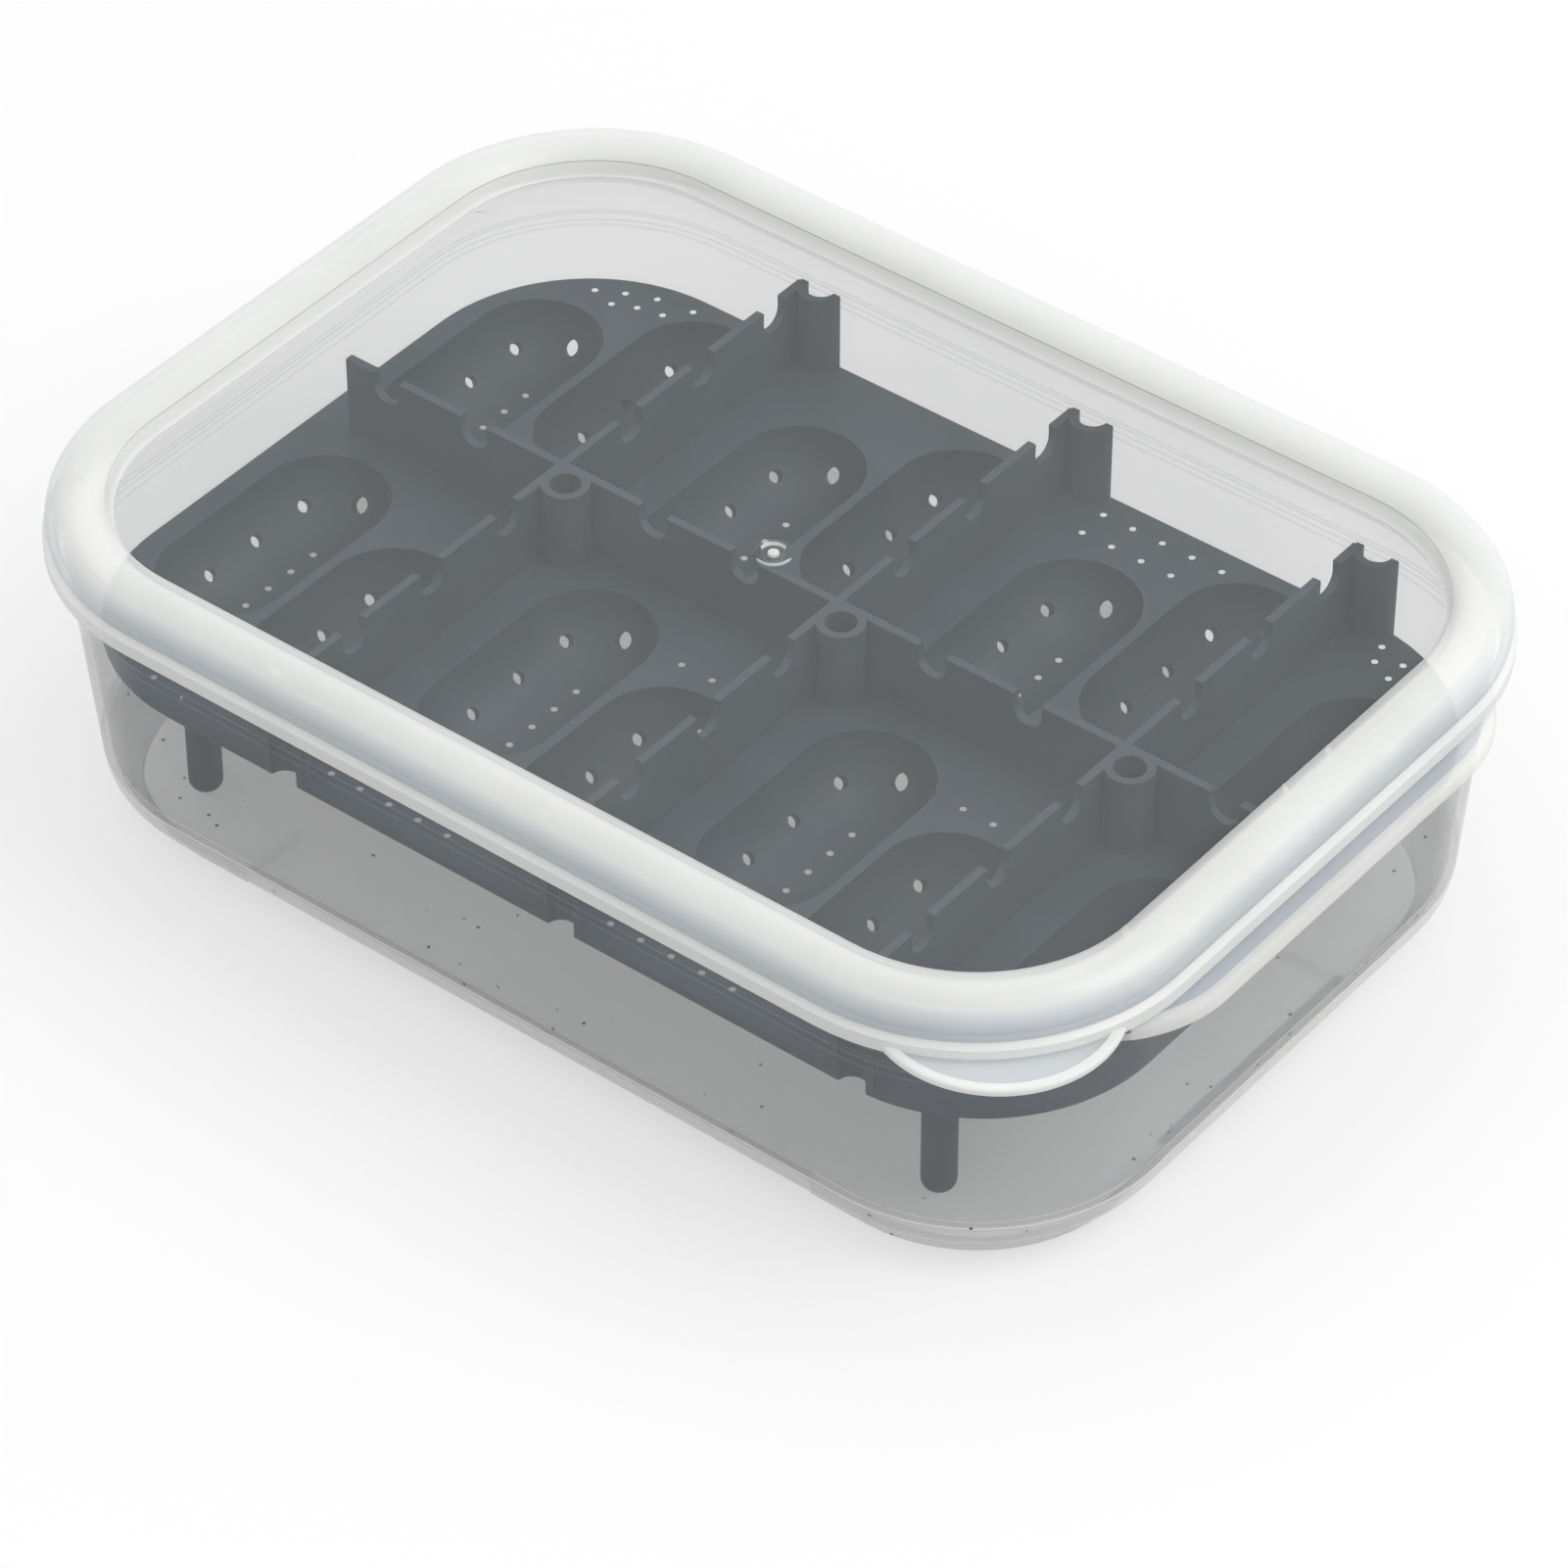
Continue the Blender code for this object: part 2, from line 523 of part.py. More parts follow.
def add_dividers(joined, cut):
    """Cross dividers with their tubes, and the long divider."""
    half = DIVIDER_THICKNESS / 2
    low = TRAY_UNDER + JOIN_DEPTH
    reach = TRAY_X - LONG_DIVIDER_INSET
    long_bar = box((-reach, LONG_DIVIDER_Y - half, low),
                   (reach, LONG_DIVIDER_Y + half, DIVIDER_TOP))
    as_cutter(add_object("long_divider", long_bar, joined))
    for step in LONG_SLOT_STEPS:
        slot = slot_cutter(step * SLOT_PITCH, LONG_DIVIDER_Y, True)
        as_cutter(add_object("long_slot", slot, cut))
    end = TRAY_Y - JOIN_DEPTH
    for x in CROSS_DIVIDERS:
        bar = box((x - half, -end, low), (x + half, end, DIVIDER_TOP))
        as_cutter(add_object("cross_divider", bar, joined))
        for index in range(CROSS_SLOT_COUNT):
            for y in (LONG_DIVIDER_Y + CROSS_SLOT_BACK + index * BACK_SLOT_PITCH,
                      LONG_DIVIDER_Y - CROSS_SLOT_FRONT - index * FRONT_SLOT_PITCH):
                as_cutter(add_object("cross_slot", slot_cutter(x, y, False), cut))
        tube_x = x + TUBE_SHIFT
        for y in (LONG_DIVIDER_Y - TUBE_SHIFT, TRAY_Y, -TRAY_Y):
            tube = cylinder(TUBE_RADIUS, low, DIVIDER_TOP, tube_x, y, TUBE_SIDES)
            bore = cylinder(TUBE_BORE, TRAY_UNDER - CUT_OVERRUN, DIVIDER_TOP + CUT_OVERRUN,
                            tube_x, y, TUBE_SIDES)
            as_cutter(add_object("tube", tube, joined))
            as_cutter(add_object("tube_bore", bore, cut))


def add_troughs(joined, cut):
    """Staggered egg troughs with their air holes."""
    reach = TROUGH_RADIUS + TROUGH_WALL / 2
    length = 2 * TROUGH_WALL + 2 * CUT_OVERRUN
    for x, start in trough_places():
        shell = capsule(TROUGH_RADIUS + TROUGH_WALL, x, start, TRAY_TOP, TRAY_UNDER + JOIN_DEPTH)
        as_cutter(add_object("trough", shell, joined))
        as_cutter(add_object("trough_hollow", capsule(TROUGH_RADIUS, x, start, TRAY_TOP), cut))
        side = Vector((-math.cos(SIDE_HOLE_ANGLE), 0.0, -math.sin(SIDE_HOLE_ANGLE)))
        for index in range(SIDE_HOLE_COUNT):
            middle = Vector((x, start + SIDE_HOLE_FIRST + index * SIDE_HOLE_PITCH, TRAY_TOP))
            hole = hole_cutter(SIDE_HOLE_RADIUS, middle + side * reach, side, length)
            as_cutter(add_object("side_hole", hole, cut))
        far = Vector((0.0, math.cos(END_HOLE_ANGLE), -math.sin(END_HOLE_ANGLE)))
        middle = Vector((x, start + TROUGH_LENGTH - TROUGH_RADIUS, TRAY_TOP))
        hole = hole_cutter(END_HOLE_RADIUS, middle + far * reach, far, length)
        as_cutter(add_object("end_hole", hole, cut))


def make_tray(parts, joined, cut, material):
    """Plate with troughs below, dividers above and four legs."""
    plate = loft([rounded_ring(TRAY_X, TRAY_Y, TRAY_RADIUS, TRAY_UNDER),
                  rounded_ring(TRAY_X, TRAY_Y, TRAY_RADIUS, TRAY_TOP)])
    tray = add_object("egg_tray", plate, parts, material)
    add_troughs(joined, cut)
    add_dividers(joined, cut)
    for side_x in (-1, 1):
        for side_y in (-1, 1):
            as_cutter(add_object("leg", leg(side_x * LEG_X, side_y * LEG_Y), joined))
    combine(tray, joined, "UNION")
    edge = TUBE_RADIUS + CUT_OVERRUN
    for side in (-1, 1):
        near = side * TRAY_Y
        low_y, high_y = sorted((near, near + side * edge))
        trim = box((-TRAY_X, low_y, TRAY_UNDER - CUT_OVERRUN),
                   (TRAY_X, high_y, DIVIDER_TOP + CUT_OVERRUN))
        as_cutter(add_object("edge_trim", trim, cut))
    combine(tray, cut, "DIFFERENCE")
    finish_round(tray)
    return tray


def main():
    clear_scene()
    parts = make_collection("breeding_box")
    groups = {name: make_collection(name) for name in (
        "container_joined", "container_cut", "lid_joined", "lid_cut", "lid_late",
        "tray_joined", "tray_cut")}
    clear_plastic = make_material("frosted_polypropylene", (0.80, 0.81, 0.82), 0.35, 0.45)
    lid_plastic = make_material("milky_polyethylene", (0.88, 0.89, 0.88), 0.30, 0.50)
    tray_plastic = make_material("slate_polystyrene", (0.10, 0.12, 0.14), 0.40)
    make_container(parts, groups["container_joined"], groups["container_cut"], clear_plastic)
    lid = make_lid(parts, groups["lid_joined"], groups["lid_cut"], lid_plastic)
    make_gate_nub(lid, groups["lid_late"])
    make_tray(parts, groups["tray_joined"], groups["tray_cut"], tray_plastic)


main()
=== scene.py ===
"""Looks of a reptile egg breeding box: clear container, milky snap lid, dark egg tray.

Metres, +Z up, X along the long side, Y towards the back. Every piece is modelled
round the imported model's own sizes and rides on one of its bodies.
"""
import math

import bmesh
import bpy
from mathutils import Matrix, Vector


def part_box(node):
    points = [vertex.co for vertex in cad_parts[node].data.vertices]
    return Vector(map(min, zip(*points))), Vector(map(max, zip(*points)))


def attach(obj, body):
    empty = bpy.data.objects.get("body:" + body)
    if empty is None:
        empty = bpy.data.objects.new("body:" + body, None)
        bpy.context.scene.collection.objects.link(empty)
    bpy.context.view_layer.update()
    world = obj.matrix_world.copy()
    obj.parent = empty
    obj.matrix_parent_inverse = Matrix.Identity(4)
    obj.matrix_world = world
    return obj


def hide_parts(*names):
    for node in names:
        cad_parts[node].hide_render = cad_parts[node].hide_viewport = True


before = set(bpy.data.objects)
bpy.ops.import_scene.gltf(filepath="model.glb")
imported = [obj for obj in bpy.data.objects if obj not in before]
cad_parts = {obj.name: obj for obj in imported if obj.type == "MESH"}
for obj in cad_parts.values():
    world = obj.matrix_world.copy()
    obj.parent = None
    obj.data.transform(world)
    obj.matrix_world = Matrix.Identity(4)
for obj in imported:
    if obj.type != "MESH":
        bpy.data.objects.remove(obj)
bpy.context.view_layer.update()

bl_info = {
    "name": "Breeding box",
    "version": (1, 0, 0),
    "blender": (4, 5, 0),
    "location": "View3D > Sidebar > Breeding box",
    "description": "Models a clear breeding box with its lid and egg tray",
    "category": "Object",
}

MM = 0.001
QUARTER = math.pi / 2
TINY = 0.001 * MM
SHARP = math.radians(60)              # edges sharper than this get rounded

CONTAINER_LOW, CONTAINER_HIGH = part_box("container")
LID_LOW, LID_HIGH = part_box("lid")
TRAY_LOW, TRAY_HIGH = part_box("egg_tray")


def linear(code):
    """Linear red, green and blue of an sRGB hex colour."""
    parts = [int(code[i:i + 2], 16) / 255 for i in (1, 3, 5)]
    return [c / 12.92 if c <= 0.04045 else ((c + 0.055) / 1.055) ** 2.4 for c in parts]


def length(name, description, default):
    return bpy.props.FloatProperty(name=name, description=description, default=default,
                                   min=0.0, subtype="DISTANCE", unit="LENGTH")


def colour(name, description, default):
    return bpy.props.FloatVectorProperty(name=name, description=description, size=3, min=0.0,
                                         max=1.0, subtype="COLOR", default=linear(default))


def share(name, description, default):
    return bpy.props.FloatProperty(name=name, description=description, default=default,
                                   min=0.0, max=1.0, subtype="FACTOR")


class ContainerSettings(bpy.types.PropertyGroup):
    rim_radius: length("Rim corner", "Corner radius of the rim", 30.4 * MM)
    wall: length("Wall", "Thickness of the tapered wall", 1.2 * MM)
    rim_wall: length("Rim wall", "Thickness of the upright rim", 0.9 * MM)
    fillet: length("Base fillet", "Radius between base and wall", 6.6 * MM)
    foot: length("Foot height", "Height of the corner feet", 3.0 * MM)
    grip_length: length("Grip length", "Length of each end grip", 96.0 * MM)
    grip_corner: length("Grip corner", "Corner radius of each grip", 21.0 * MM)
    plastic: colour("Plastic", "Colour of the frosted plastic", "#A9AAAD")
    opacity: share("Opacity", "How much one face of the wall hides", 0.20)
    thick_opacity: share("Thick opacity", "How much one face of rim or grip edge hides", 0.5)
    grip_opacity: share("Grip opacity", "How much one face of the flat grip hides", 0.32)
    under_opacity: share("Under opacity", "How much the smooth underside hides", 0.03)


class LidSettings(bpy.types.PropertyGroup):
    bead: length("Bead radius", "Outer radius of the hollow bead", 4.6 * MM)
    wall: length("Wall", "Thickness of the lid's skin", 1.0 * MM)
    tab: length("Tab radius", "Radius of the pull tab", 16.8 * MM)
    plastic: colour("Plastic", "Colour of the milky lid", "#F2F3F1")
    panel_opacity: share("Panel opacity", "How much one face of the panel hides", 0.055)
    bead_opacity: share("Bead opacity", "How much one face of the bead hides", 0.6)
    edge_opacity: share("Edge opacity", "How much one face of the lip hides", 0.68)
    skirt_opacity: share("Skirt opacity", "How much one face of the skirt hides", 0.44)
    tab_opacity: share("Tab opacity", "How much one face of the thin tab hides", 0.22)


class TraySettings(bpy.types.PropertyGroup):
    trough: length("Trough radius", "Inside radius of an egg trough", 9.75 * MM)
    trough_length: length("Trough length", "Inside length of an egg trough", 40.0 * MM)
    divider: length("Divider", "Thickness of a divider", 1.3 * MM)
    air_hole: length("Air hole", "Radius of the small air holes", 0.5 * MM)
    plastic: colour("Plastic", "Colour of the tray", "#2B3C47")


class StageSettings(bpy.types.PropertyGroup):
    floor: colour("Floor", "Colour of the floor", "#F2F2F2")
    bounce: share("Bounce", "Share of the floor's white that lights the box from below", 0.5)
    shaded: share("Shaded", "Share of the floor's white that can fall into shade", 0.42)
    daylight: bpy.props.FloatProperty(name="Daylight", description="Strength of the even light",
                                      default=0.95, min=0.0)


# Tools shared by all pieces

def start_clean():
    """Back to object mode with nothing selected."""
    if bpy.context.mode != "OBJECT":
        bpy.ops.object.mode_set(mode="OBJECT")
    bpy.ops.object.select_all(action="DESELECT")


def take(piece):
    """Make a piece the only one selected."""
    start_clean()
    piece.select_set(True)
    bpy.context.view_layer.objects.active = piece


def edit(piece):
    take(piece)
    bpy.ops.object.mode_set(mode="EDIT")
    bpy.ops.mesh.select_mode(type="VERT")


def choose(kind, test):
    """In edit mode, select only the vertices, edges or faces that pass a test."""
    bpy.ops.mesh.select_mode(type=kind)
    bpy.ops.mesh.select_all(action="DESELECT")
    mesh = bmesh.from_edit_mesh(bpy.context.object.data)
    for item in {"VERT": mesh.verts, "EDGE": mesh.edges, "FACE": mesh.faces}[kind]:
        if test(item):
            item.select_set(True)
    mesh.select_flush_mode()
    bmesh.update_edit_mesh(bpy.context.object.data)


def extrude(x=0.0, y=0.0, z=0.0):
    bpy.ops.mesh.extrude_region_move(TRANSFORM_OT_translate={"value": (x, y, z)})


def move(x=0.0, y=0.0, z=0.0):
    bpy.ops.transform.translate(value=(x, y, z))


def seat(name):
    """Name the new primitive and lay its place down in its mesh."""
    piece = bpy.context.object
    piece.name = name
    bpy.ops.object.transform_apply(location=True, rotation=True, scale=True)
    return piece


def combine(piece, other, operation, overlapping=False):
    """Join another piece to this one, or cut it out, and remove it."""
    take(piece)
    modifier = piece.modifiers.new("combine", "BOOLEAN")
    modifier.operation = operation
    modifier.object = other
    modifier.solver = "EXACT"
    modifier.use_self = overlapping
    bpy.ops.object.modifier_apply(modifier=modifier.name)
    bpy.data.objects.remove(other)


def group(pieces):
    """Several loose shapes as one object."""
    take(pieces[0])
    for piece in pieces[1:]:
        piece.select_set(True)
    if len(pieces) > 1:
        bpy.ops.object.join()
    return bpy.context.object


def copied(piece, x=0.0, y=0.0, z=0.0):
    """Copy with its own mesh, moved."""
    twin = piece.copy()
    twin.data = piece.data.copy()
    twin.data.transform(Matrix.Translation((x, y, z)))
    bpy.context.scene.collection.objects.link(twin)
    return twin


def arc(out, up, radius, start, stop, steps):
    """Points on an arc round (out, up), in degrees, zero pointing outwards."""
    angles = [math.radians(start + (stop - start) * i / steps) for i in range(steps + 1)]
    return [(out + radius * math.cos(a), up + radius * math.sin(a)) for a in angles]


def spun_ring(name, profile, axis_x, axis_y, steps=16):
    """Closed ring: a profile spun round one corner, run to the middle and mirrored.

    The profile holds distances from the corner's upright axis and heights.
    """
    start_clean()
    out, up = profile[0]
    bpy.ops.mesh.primitive_plane_add(size=MM, location=(axis_x + out, axis_y, up))
    ring = seat(name)
    edit(ring)
    bpy.ops.mesh.select_all(action="SELECT")
    bpy.ops.mesh.merge(type="CENTER")
    for (low_out, low_up), (high_out, high_up) in zip(profile, profile[1:]):
        extrude(x=high_out - low_out, z=high_up - low_up)
    bpy.ops.mesh.select_all(action="SELECT")
    bpy.ops.mesh.spin(steps=steps, angle=QUARTER, center=(axis_x, axis_y, 0.0),
                      axis=(0.0, 0.0, -1.0))
    extrude(x=-axis_x)
    choose("VERT", lambda v: abs(v.co.y - axis_y) < TINY and v.co.x > axis_x + TINY)
    extrude(y=-axis_y)
    bpy.ops.object.mode_set(mode="OBJECT")
    mirror = ring.modifiers.new("mirror", "MIRROR")
    mirror.use_axis = (True, True, False)
    mirror.merge_threshold = TINY
    bpy.ops.object.modifier_apply(modifier=mirror.name)
    return ring


def cap(ring, test, inset):
    """Close one open edge with a flat face, with a narrow border for clean shading."""
    edit(ring)
    choose("EDGE", lambda e: e.is_boundary and all(test(v.co) for v in e.verts))
    bpy.ops.mesh.edge_face_add()
    bpy.ops.mesh.inset(thickness=inset)
    bpy.ops.object.mode_set(mode="OBJECT")


def close_ring(ring):
    """Faces outwards on a finished ring."""
    edit(ring)
    bpy.ops.mesh.select_all(action="SELECT")
    bpy.ops.mesh.normals_make_consistent(inside=False)
    bpy.ops.object.mode_set(mode="OBJECT")


def spun_block(radius, low, high, axis_x, axis_y):
    """Solid with round corners between two heights, to cut with."""
    room = spun_ring("room", [(radius, low), (radius, high)], axis_x, axis_y, 20)
    cap(room, lambda co: co.z < low + TINY, 1.0 * MM)
    cap(room, lambda co: co.z > high - TINY, 1.0 * MM)
    close_ring(room)
    return room


def to_side(piece, side_x=1, side_y=1):
    """Mirror a piece to its own side of the box."""
    piece.data.transform(Matrix.Diagonal((side_x, side_y, 1.0, 1.0)))
    close_ring(piece)
    return piece


def bevel_edges(piece, test, width, segments):
    edit(piece)
    choose("EDGE", test)
    bpy.ops.mesh.bevel(offset=width, segments=segments, affect="EDGES")
    bpy.ops.object.mode_set(mode="OBJECT")


def smooth(piece, angle=32):
    take(piece)
    bpy.ops.object.shade_smooth_by_angle(angle=math.radians(angle))


def rod(name, radius, low, high, x, y, sides, bevel=0.0):
    """Upright round bar."""
    start_clean()
    bpy.ops.mesh.primitive_cylinder_add(vertices=sides, radius=radius, depth=high - low,
                                        location=(x, y, (low + high) / 2))
    bar = seat(name)
    if bevel:
        bevel_edges(bar, lambda e: abs(e.verts[0].co.z - e.verts[1].co.z) < TINY, bevel, 2)
    return bar


def block(name, low, high):
    """Box between two opposite corners."""
    start_clean()
    low, high = Vector(low), Vector(high)
    bpy.ops.mesh.primitive_cube_add(size=1.0, location=(low + high) / 2, scale=high - low)
    return seat(name)


def finish_piece(piece, name, material_list, body, node):
    """Name the piece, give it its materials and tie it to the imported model."""
    piece.name = name
    piece.data.name = name
    piece.data.materials.clear()
    for material in material_list:
        piece.data.materials.append(material)
    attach(piece, body)
    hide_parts(node)


# Materials

def feed(tree, node, inputs):
    """Give a node's inputs values, sockets or other nodes, of which the first output is used."""
    for key, value in inputs.items():
        if isinstance(value, bpy.types.Node):
            value = next(socket for socket in value.outputs if socket.enabled)
        if isinstance(value, bpy.types.NodeSocket):
            tree.links.new(value, node.inputs[key])
        else:
            node.inputs[key].default_value = value


def add_node(tree, kind, inputs=None, **settings):
    """Add a shader node with its settings and inputs."""
    made = tree.nodes.new(kind)
    for key, value in settings.items():
        setattr(made, key, value)
    feed(tree, made, inputs or {})
    return made


def new_material(name):
    """Material with a bare Principled shader; gives the material, its tree and the shader."""
    material = bpy.data.materials.new(name)
    material.use_nodes = True
    tree = material.node_tree
    return material, tree, tree.nodes["Principled BSDF"]


def per_mm(size):
    """Texture scale whose features measure about size millimetres."""
    return 1.0 / (size * MM)


def line_at(tree, height, at, reach):
    """One at a height, falling to nothing within a reach of it."""
    away = add_node(tree, "ShaderNodeMath", {0: height, 1: at}, operation="SUBTRACT")
    away = add_node(tree, "ShaderNodeMath", {0: away}, operation="ABSOLUTE")
    return add_node(tree, "ShaderNodeMapRange", {
        "Value": away, "From Max": reach, "To Min": 1.0, "To Max": 0.0})


def frosted_nodes(name, tint, opacity):
    """Polypropylene moulded against a fine blasted steel.

    The eye gets a soft grey haze, a broad dull shine and a faint flow in the haze.
    """
    material, tree, shader = new_material(name)
    place = add_node(tree, "ShaderNodeTexCoord").outputs["Object"]
    flow = add_node(tree, "ShaderNodeTexNoise", {"Vector": place, "Scale": per_mm(38.0)})
    grain = add_node(tree, "ShaderNodeTexNoise", {"Vector": place, "Scale": per_mm(0.9)})
    flow_span = {"Value": flow, "From Min": 0.3, "From Max": 0.7}
    roughness = add_node(tree, "ShaderNodeMapRange", {
        **flow_span, "To Min": 0.30, "To Max": 0.40})
    haze = add_node(tree, "ShaderNodeMapRange", {
        **flow_span, "To Min": opacity * 0.93, "To Max": opacity * 1.07})
    bump = add_node(tree, "ShaderNodeBump", {
        "Height": grain, "Strength": 0.06, "Distance": 0.05 * MM})
    feed(tree, shader, {"Base Color": (*tint, 1.0), "IOR": 1.49, "Roughness": roughness,
                        "Alpha": haze, "Normal": bump})
    return material, tree, shader, place, haze


def frosted_polypropylene(finish, tint, opacity):
    """The plain frosted polypropylene of rim, grips and underside."""
    return frosted_nodes("frosted_polypropylene_" + finish, tint, opacity)[0]


def frosted_wall(tint, opacity, foot_top, fillet_top):
    """The frosted polypropylene of the wall, denser in the fillet and at its creases.

    The eye gets a light band round the base with a fine bright line over it, both painted
    highlights, a grey foot that the painted highlight leaves out, two faint lines at the inner
    step, which are painted shade, a few dark specks of moulding dirt near the base and a
    painted reflection that whitens the wall where it is seen edge on.
    """
    material, tree, shader, place, haze = frosted_nodes(
        "frosted_polypropylene_wall", tint, opacity)
    height = add_node(tree, "ShaderNodeSeparateXYZ", {"Vector": place}).outputs["Z"]
    band = add_node(tree, "ShaderNodeMapRange", {
        "Value": height, "From Min": fillet_top + 0.2 * MM, "From Max": fillet_top - 0.6 * MM})
    foot = add_node(tree, "ShaderNodeMapRange", {
        "Value": height, "From Min": foot_top + 0.6 * MM, "From Max": foot_top - 0.2 * MM})
    slant = add_node(tree, "ShaderNodeLayerWeight", {"Blend": 0.5}).outputs["Facing"]
    gloss = add_node(tree, "ShaderNodeMapRange", {"Value": slant, "From Min": GLOSS_FROM})
    # each feature: its mask, its extra haze and its share of painted highlight white; edge on the
    # white is a painted reflection, the base band and its line are painted highlights, and the
    # foot takes that highlight away again
    features = [(gloss, GLOSS_HAZE, 1.0), (band, BAND_HAZE, 0.8), (foot, 0.0, -0.7),
                (line_at(tree, height, fillet_top, 0.45 * MM), LINE_HAZE, 1.0)]
    # the inner step's two lines get haze only, which shows as two darker lines: painted shade at
    # the step
    features += [(line_at(tree, height, at, 0.3 * MM), STEP_HAZE, 0.0)
                 for at in (STEP_LOW, STEP_LOW + STEP_HEIGHT)]
    painted_highlight = 0.0
    for feature, feature_haze, feature_highlight in features:
        haze = add_node(tree, "ShaderNodeMath", {0: feature, 1: feature_haze, 2: haze},
                        operation="MULTIPLY_ADD")
        painted_highlight = add_node(tree, "ShaderNodeMath", {0: feature, 1: feature_highlight, 2: painted_highlight},
                             operation="MULTIPLY_ADD")
    cells = add_node(tree, "ShaderNodeTexVoronoi", {"Vector": place, "Scale": per_mm(2.6)})
    dot = add_node(tree, "ShaderNodeMapRange", {
        "Value": cells.outputs["Distance"], "From Min": 0.08, "From Max": 0.13,
        "To Min": 1.0, "To Max": 0.0})
    chance = add_node(tree, "ShaderNodeSeparateXYZ", {"Vector": cells.outputs["Color"]})
    rare = add_node(tree, "ShaderNodeMapRange", {
        "Value": chance, "From Min": 0.84, "From Max": 0.86})
    low = add_node(tree, "ShaderNodeMapRange", {
        "Value": height, "From Min": fillet_top + 1.0 * MM, "From Max": fillet_top + 9.0 * MM,
        "To Min": SPECK_HAZE, "To Max": 0.0})
    speck = add_node(tree, "ShaderNodeMath", {0: dot, 1: rare}, operation="MULTIPLY")
    speck = add_node(tree, "ShaderNodeMath", {0: speck, 1: low}, operation="MULTIPLY")
    dark = add_node(tree, "ShaderNodeMath", {0: speck, 1: speck})
    shade = add_node(tree, "ShaderNodeMix", {
        "Factor": painted_highlight, "A": (*tint, 1.0), "B": (*linear(PAINTED_HIGHLIGHT_WHITE), 1.0)},
        data_type="RGBA")
    shade = add_node(tree, "ShaderNodeMix", {
        "Factor": dark, "A": shade, "B": (*linear(SPECK_GREY), 1.0)}, data_type="RGBA")
    haze = add_node(tree, "ShaderNodeMath", {0: haze, 1: speck})
    feed(tree, shader, {"Base Color": shade, "Alpha": haze})
    return material


def milky_nodes(name, tint, opacity, roughness):
    """Soft polyethylene, moulded in a polished tool.

    The eye gets a waxy white with a wide soft highlight; thin places are nearly clear.
    """
    material, tree, shader = new_material(name)
    place = add_node(tree, "ShaderNodeTexCoord").outputs["Object"]
    flow = add_node(tree, "ShaderNodeTexNoise", {"Vector": place, "Scale": per_mm(30.0)})
    flow_span = {"Value": flow, "From Min": 0.3, "From Max": 0.7}
    roughness = add_node(tree, "ShaderNodeMapRange", {
        **flow_span, "To Min": roughness * 0.9, "To Max": roughness * 1.1})
    haze = add_node(tree, "ShaderNodeMapRange", {
        **flow_span, "To Min": opacity * 0.95, "To Max": opacity * 1.05})
    feed(tree, shader, {"Base Color": (*tint, 1.0), "IOR": 1.51, "Roughness": roughness,
                        "Alpha": haze})
    return material, tree, shader, place, haze


def milky_polyethylene(finish, tint, opacity, roughness=0.30):
    """The plain milky polyethylene of panel, bead, lip and tab."""
    return milky_nodes("milky_polyethylene_" + finish, tint, opacity, roughness)[0]


def milky_skirt(tint, shade_tint, opacity, low_opacity):
    """The milky polyethylene of the bead's outer half, thinning towards the skirt.

    The eye gets a white crown that fades to a cool, thinner grey above the lip; the cool grey is
    painted shade.
    """
    material, tree, shader, place, haze = milky_nodes(
        "milky_polyethylene_skirt", tint, opacity, 0.30)
    height = add_node(tree, "ShaderNodeSeparateXYZ", {"Vector": place}).outputs["Z"]
    # lower down the bead fades to a cool grey, which is painted shade, and to a thinner haze
    shade_fade = add_node(tree, "ShaderNodeMapRange", {
        "Value": height, "From Min": BEAD_Z + 3.0 * MM, "From Max": BEAD_Z - 1.0 * MM})
    shade = add_node(tree, "ShaderNodeMix", {
        "Factor": shade_fade, "A": (*tint, 1.0), "B": (*shade_tint, 1.0)}, data_type="RGBA")
    haze = add_node(tree, "ShaderNodeMath", {0: shade_fade, 1: low_opacity - opacity, 2: haze},
                    operation="MULTIPLY_ADD")
    feed(tree, shader, {"Base Color": shade, "Alpha": haze})
    return material


def slate_polystyrene(tint):
    """Dark recycled polystyrene, moulded with a satin face.

    The eye gets a dull blue grey with a weak sheen and slight cloudiness.
    """
    material, tree, shader = new_material("slate_polystyrene")
    place = add_node(tree, "ShaderNodeTexCoord").outputs["Object"]
    cloud = add_node(tree, "ShaderNodeTexNoise", {
        "Vector": place, "Scale": per_mm(14.0), "Detail": 3.0})
    grain = add_node(tree, "ShaderNodeTexNoise", {"Vector": place, "Scale": per_mm(2.2)})
    mixing = add_node(tree, "ShaderNodeMapRange", {
        "Value": cloud, "From Min": 0.35, "From Max": 0.65})
    shade = add_node(tree, "ShaderNodeMix", {
        "Factor": mixing, "A": (*(c * 0.9 for c in tint), 1.0),
        "B": (*(min(1.0, c * 1.12) for c in tint), 1.0)}, data_type="RGBA")
    roughness = add_node(tree, "ShaderNodeMapRange", {
        "Value": cloud, "From Min": 0.3, "From Max": 0.7, "To Min": 0.52, "To Max": 0.62})
    bump = add_node(tree, "ShaderNodeBump", {
        "Height": grain, "Strength": 0.005, "Distance": 0.02 * MM})
    feed(tree, shader, {"Base Color": shade, "IOR": 1.42, "Roughness": roughness,
                        "Normal": bump})
    return material


# Container

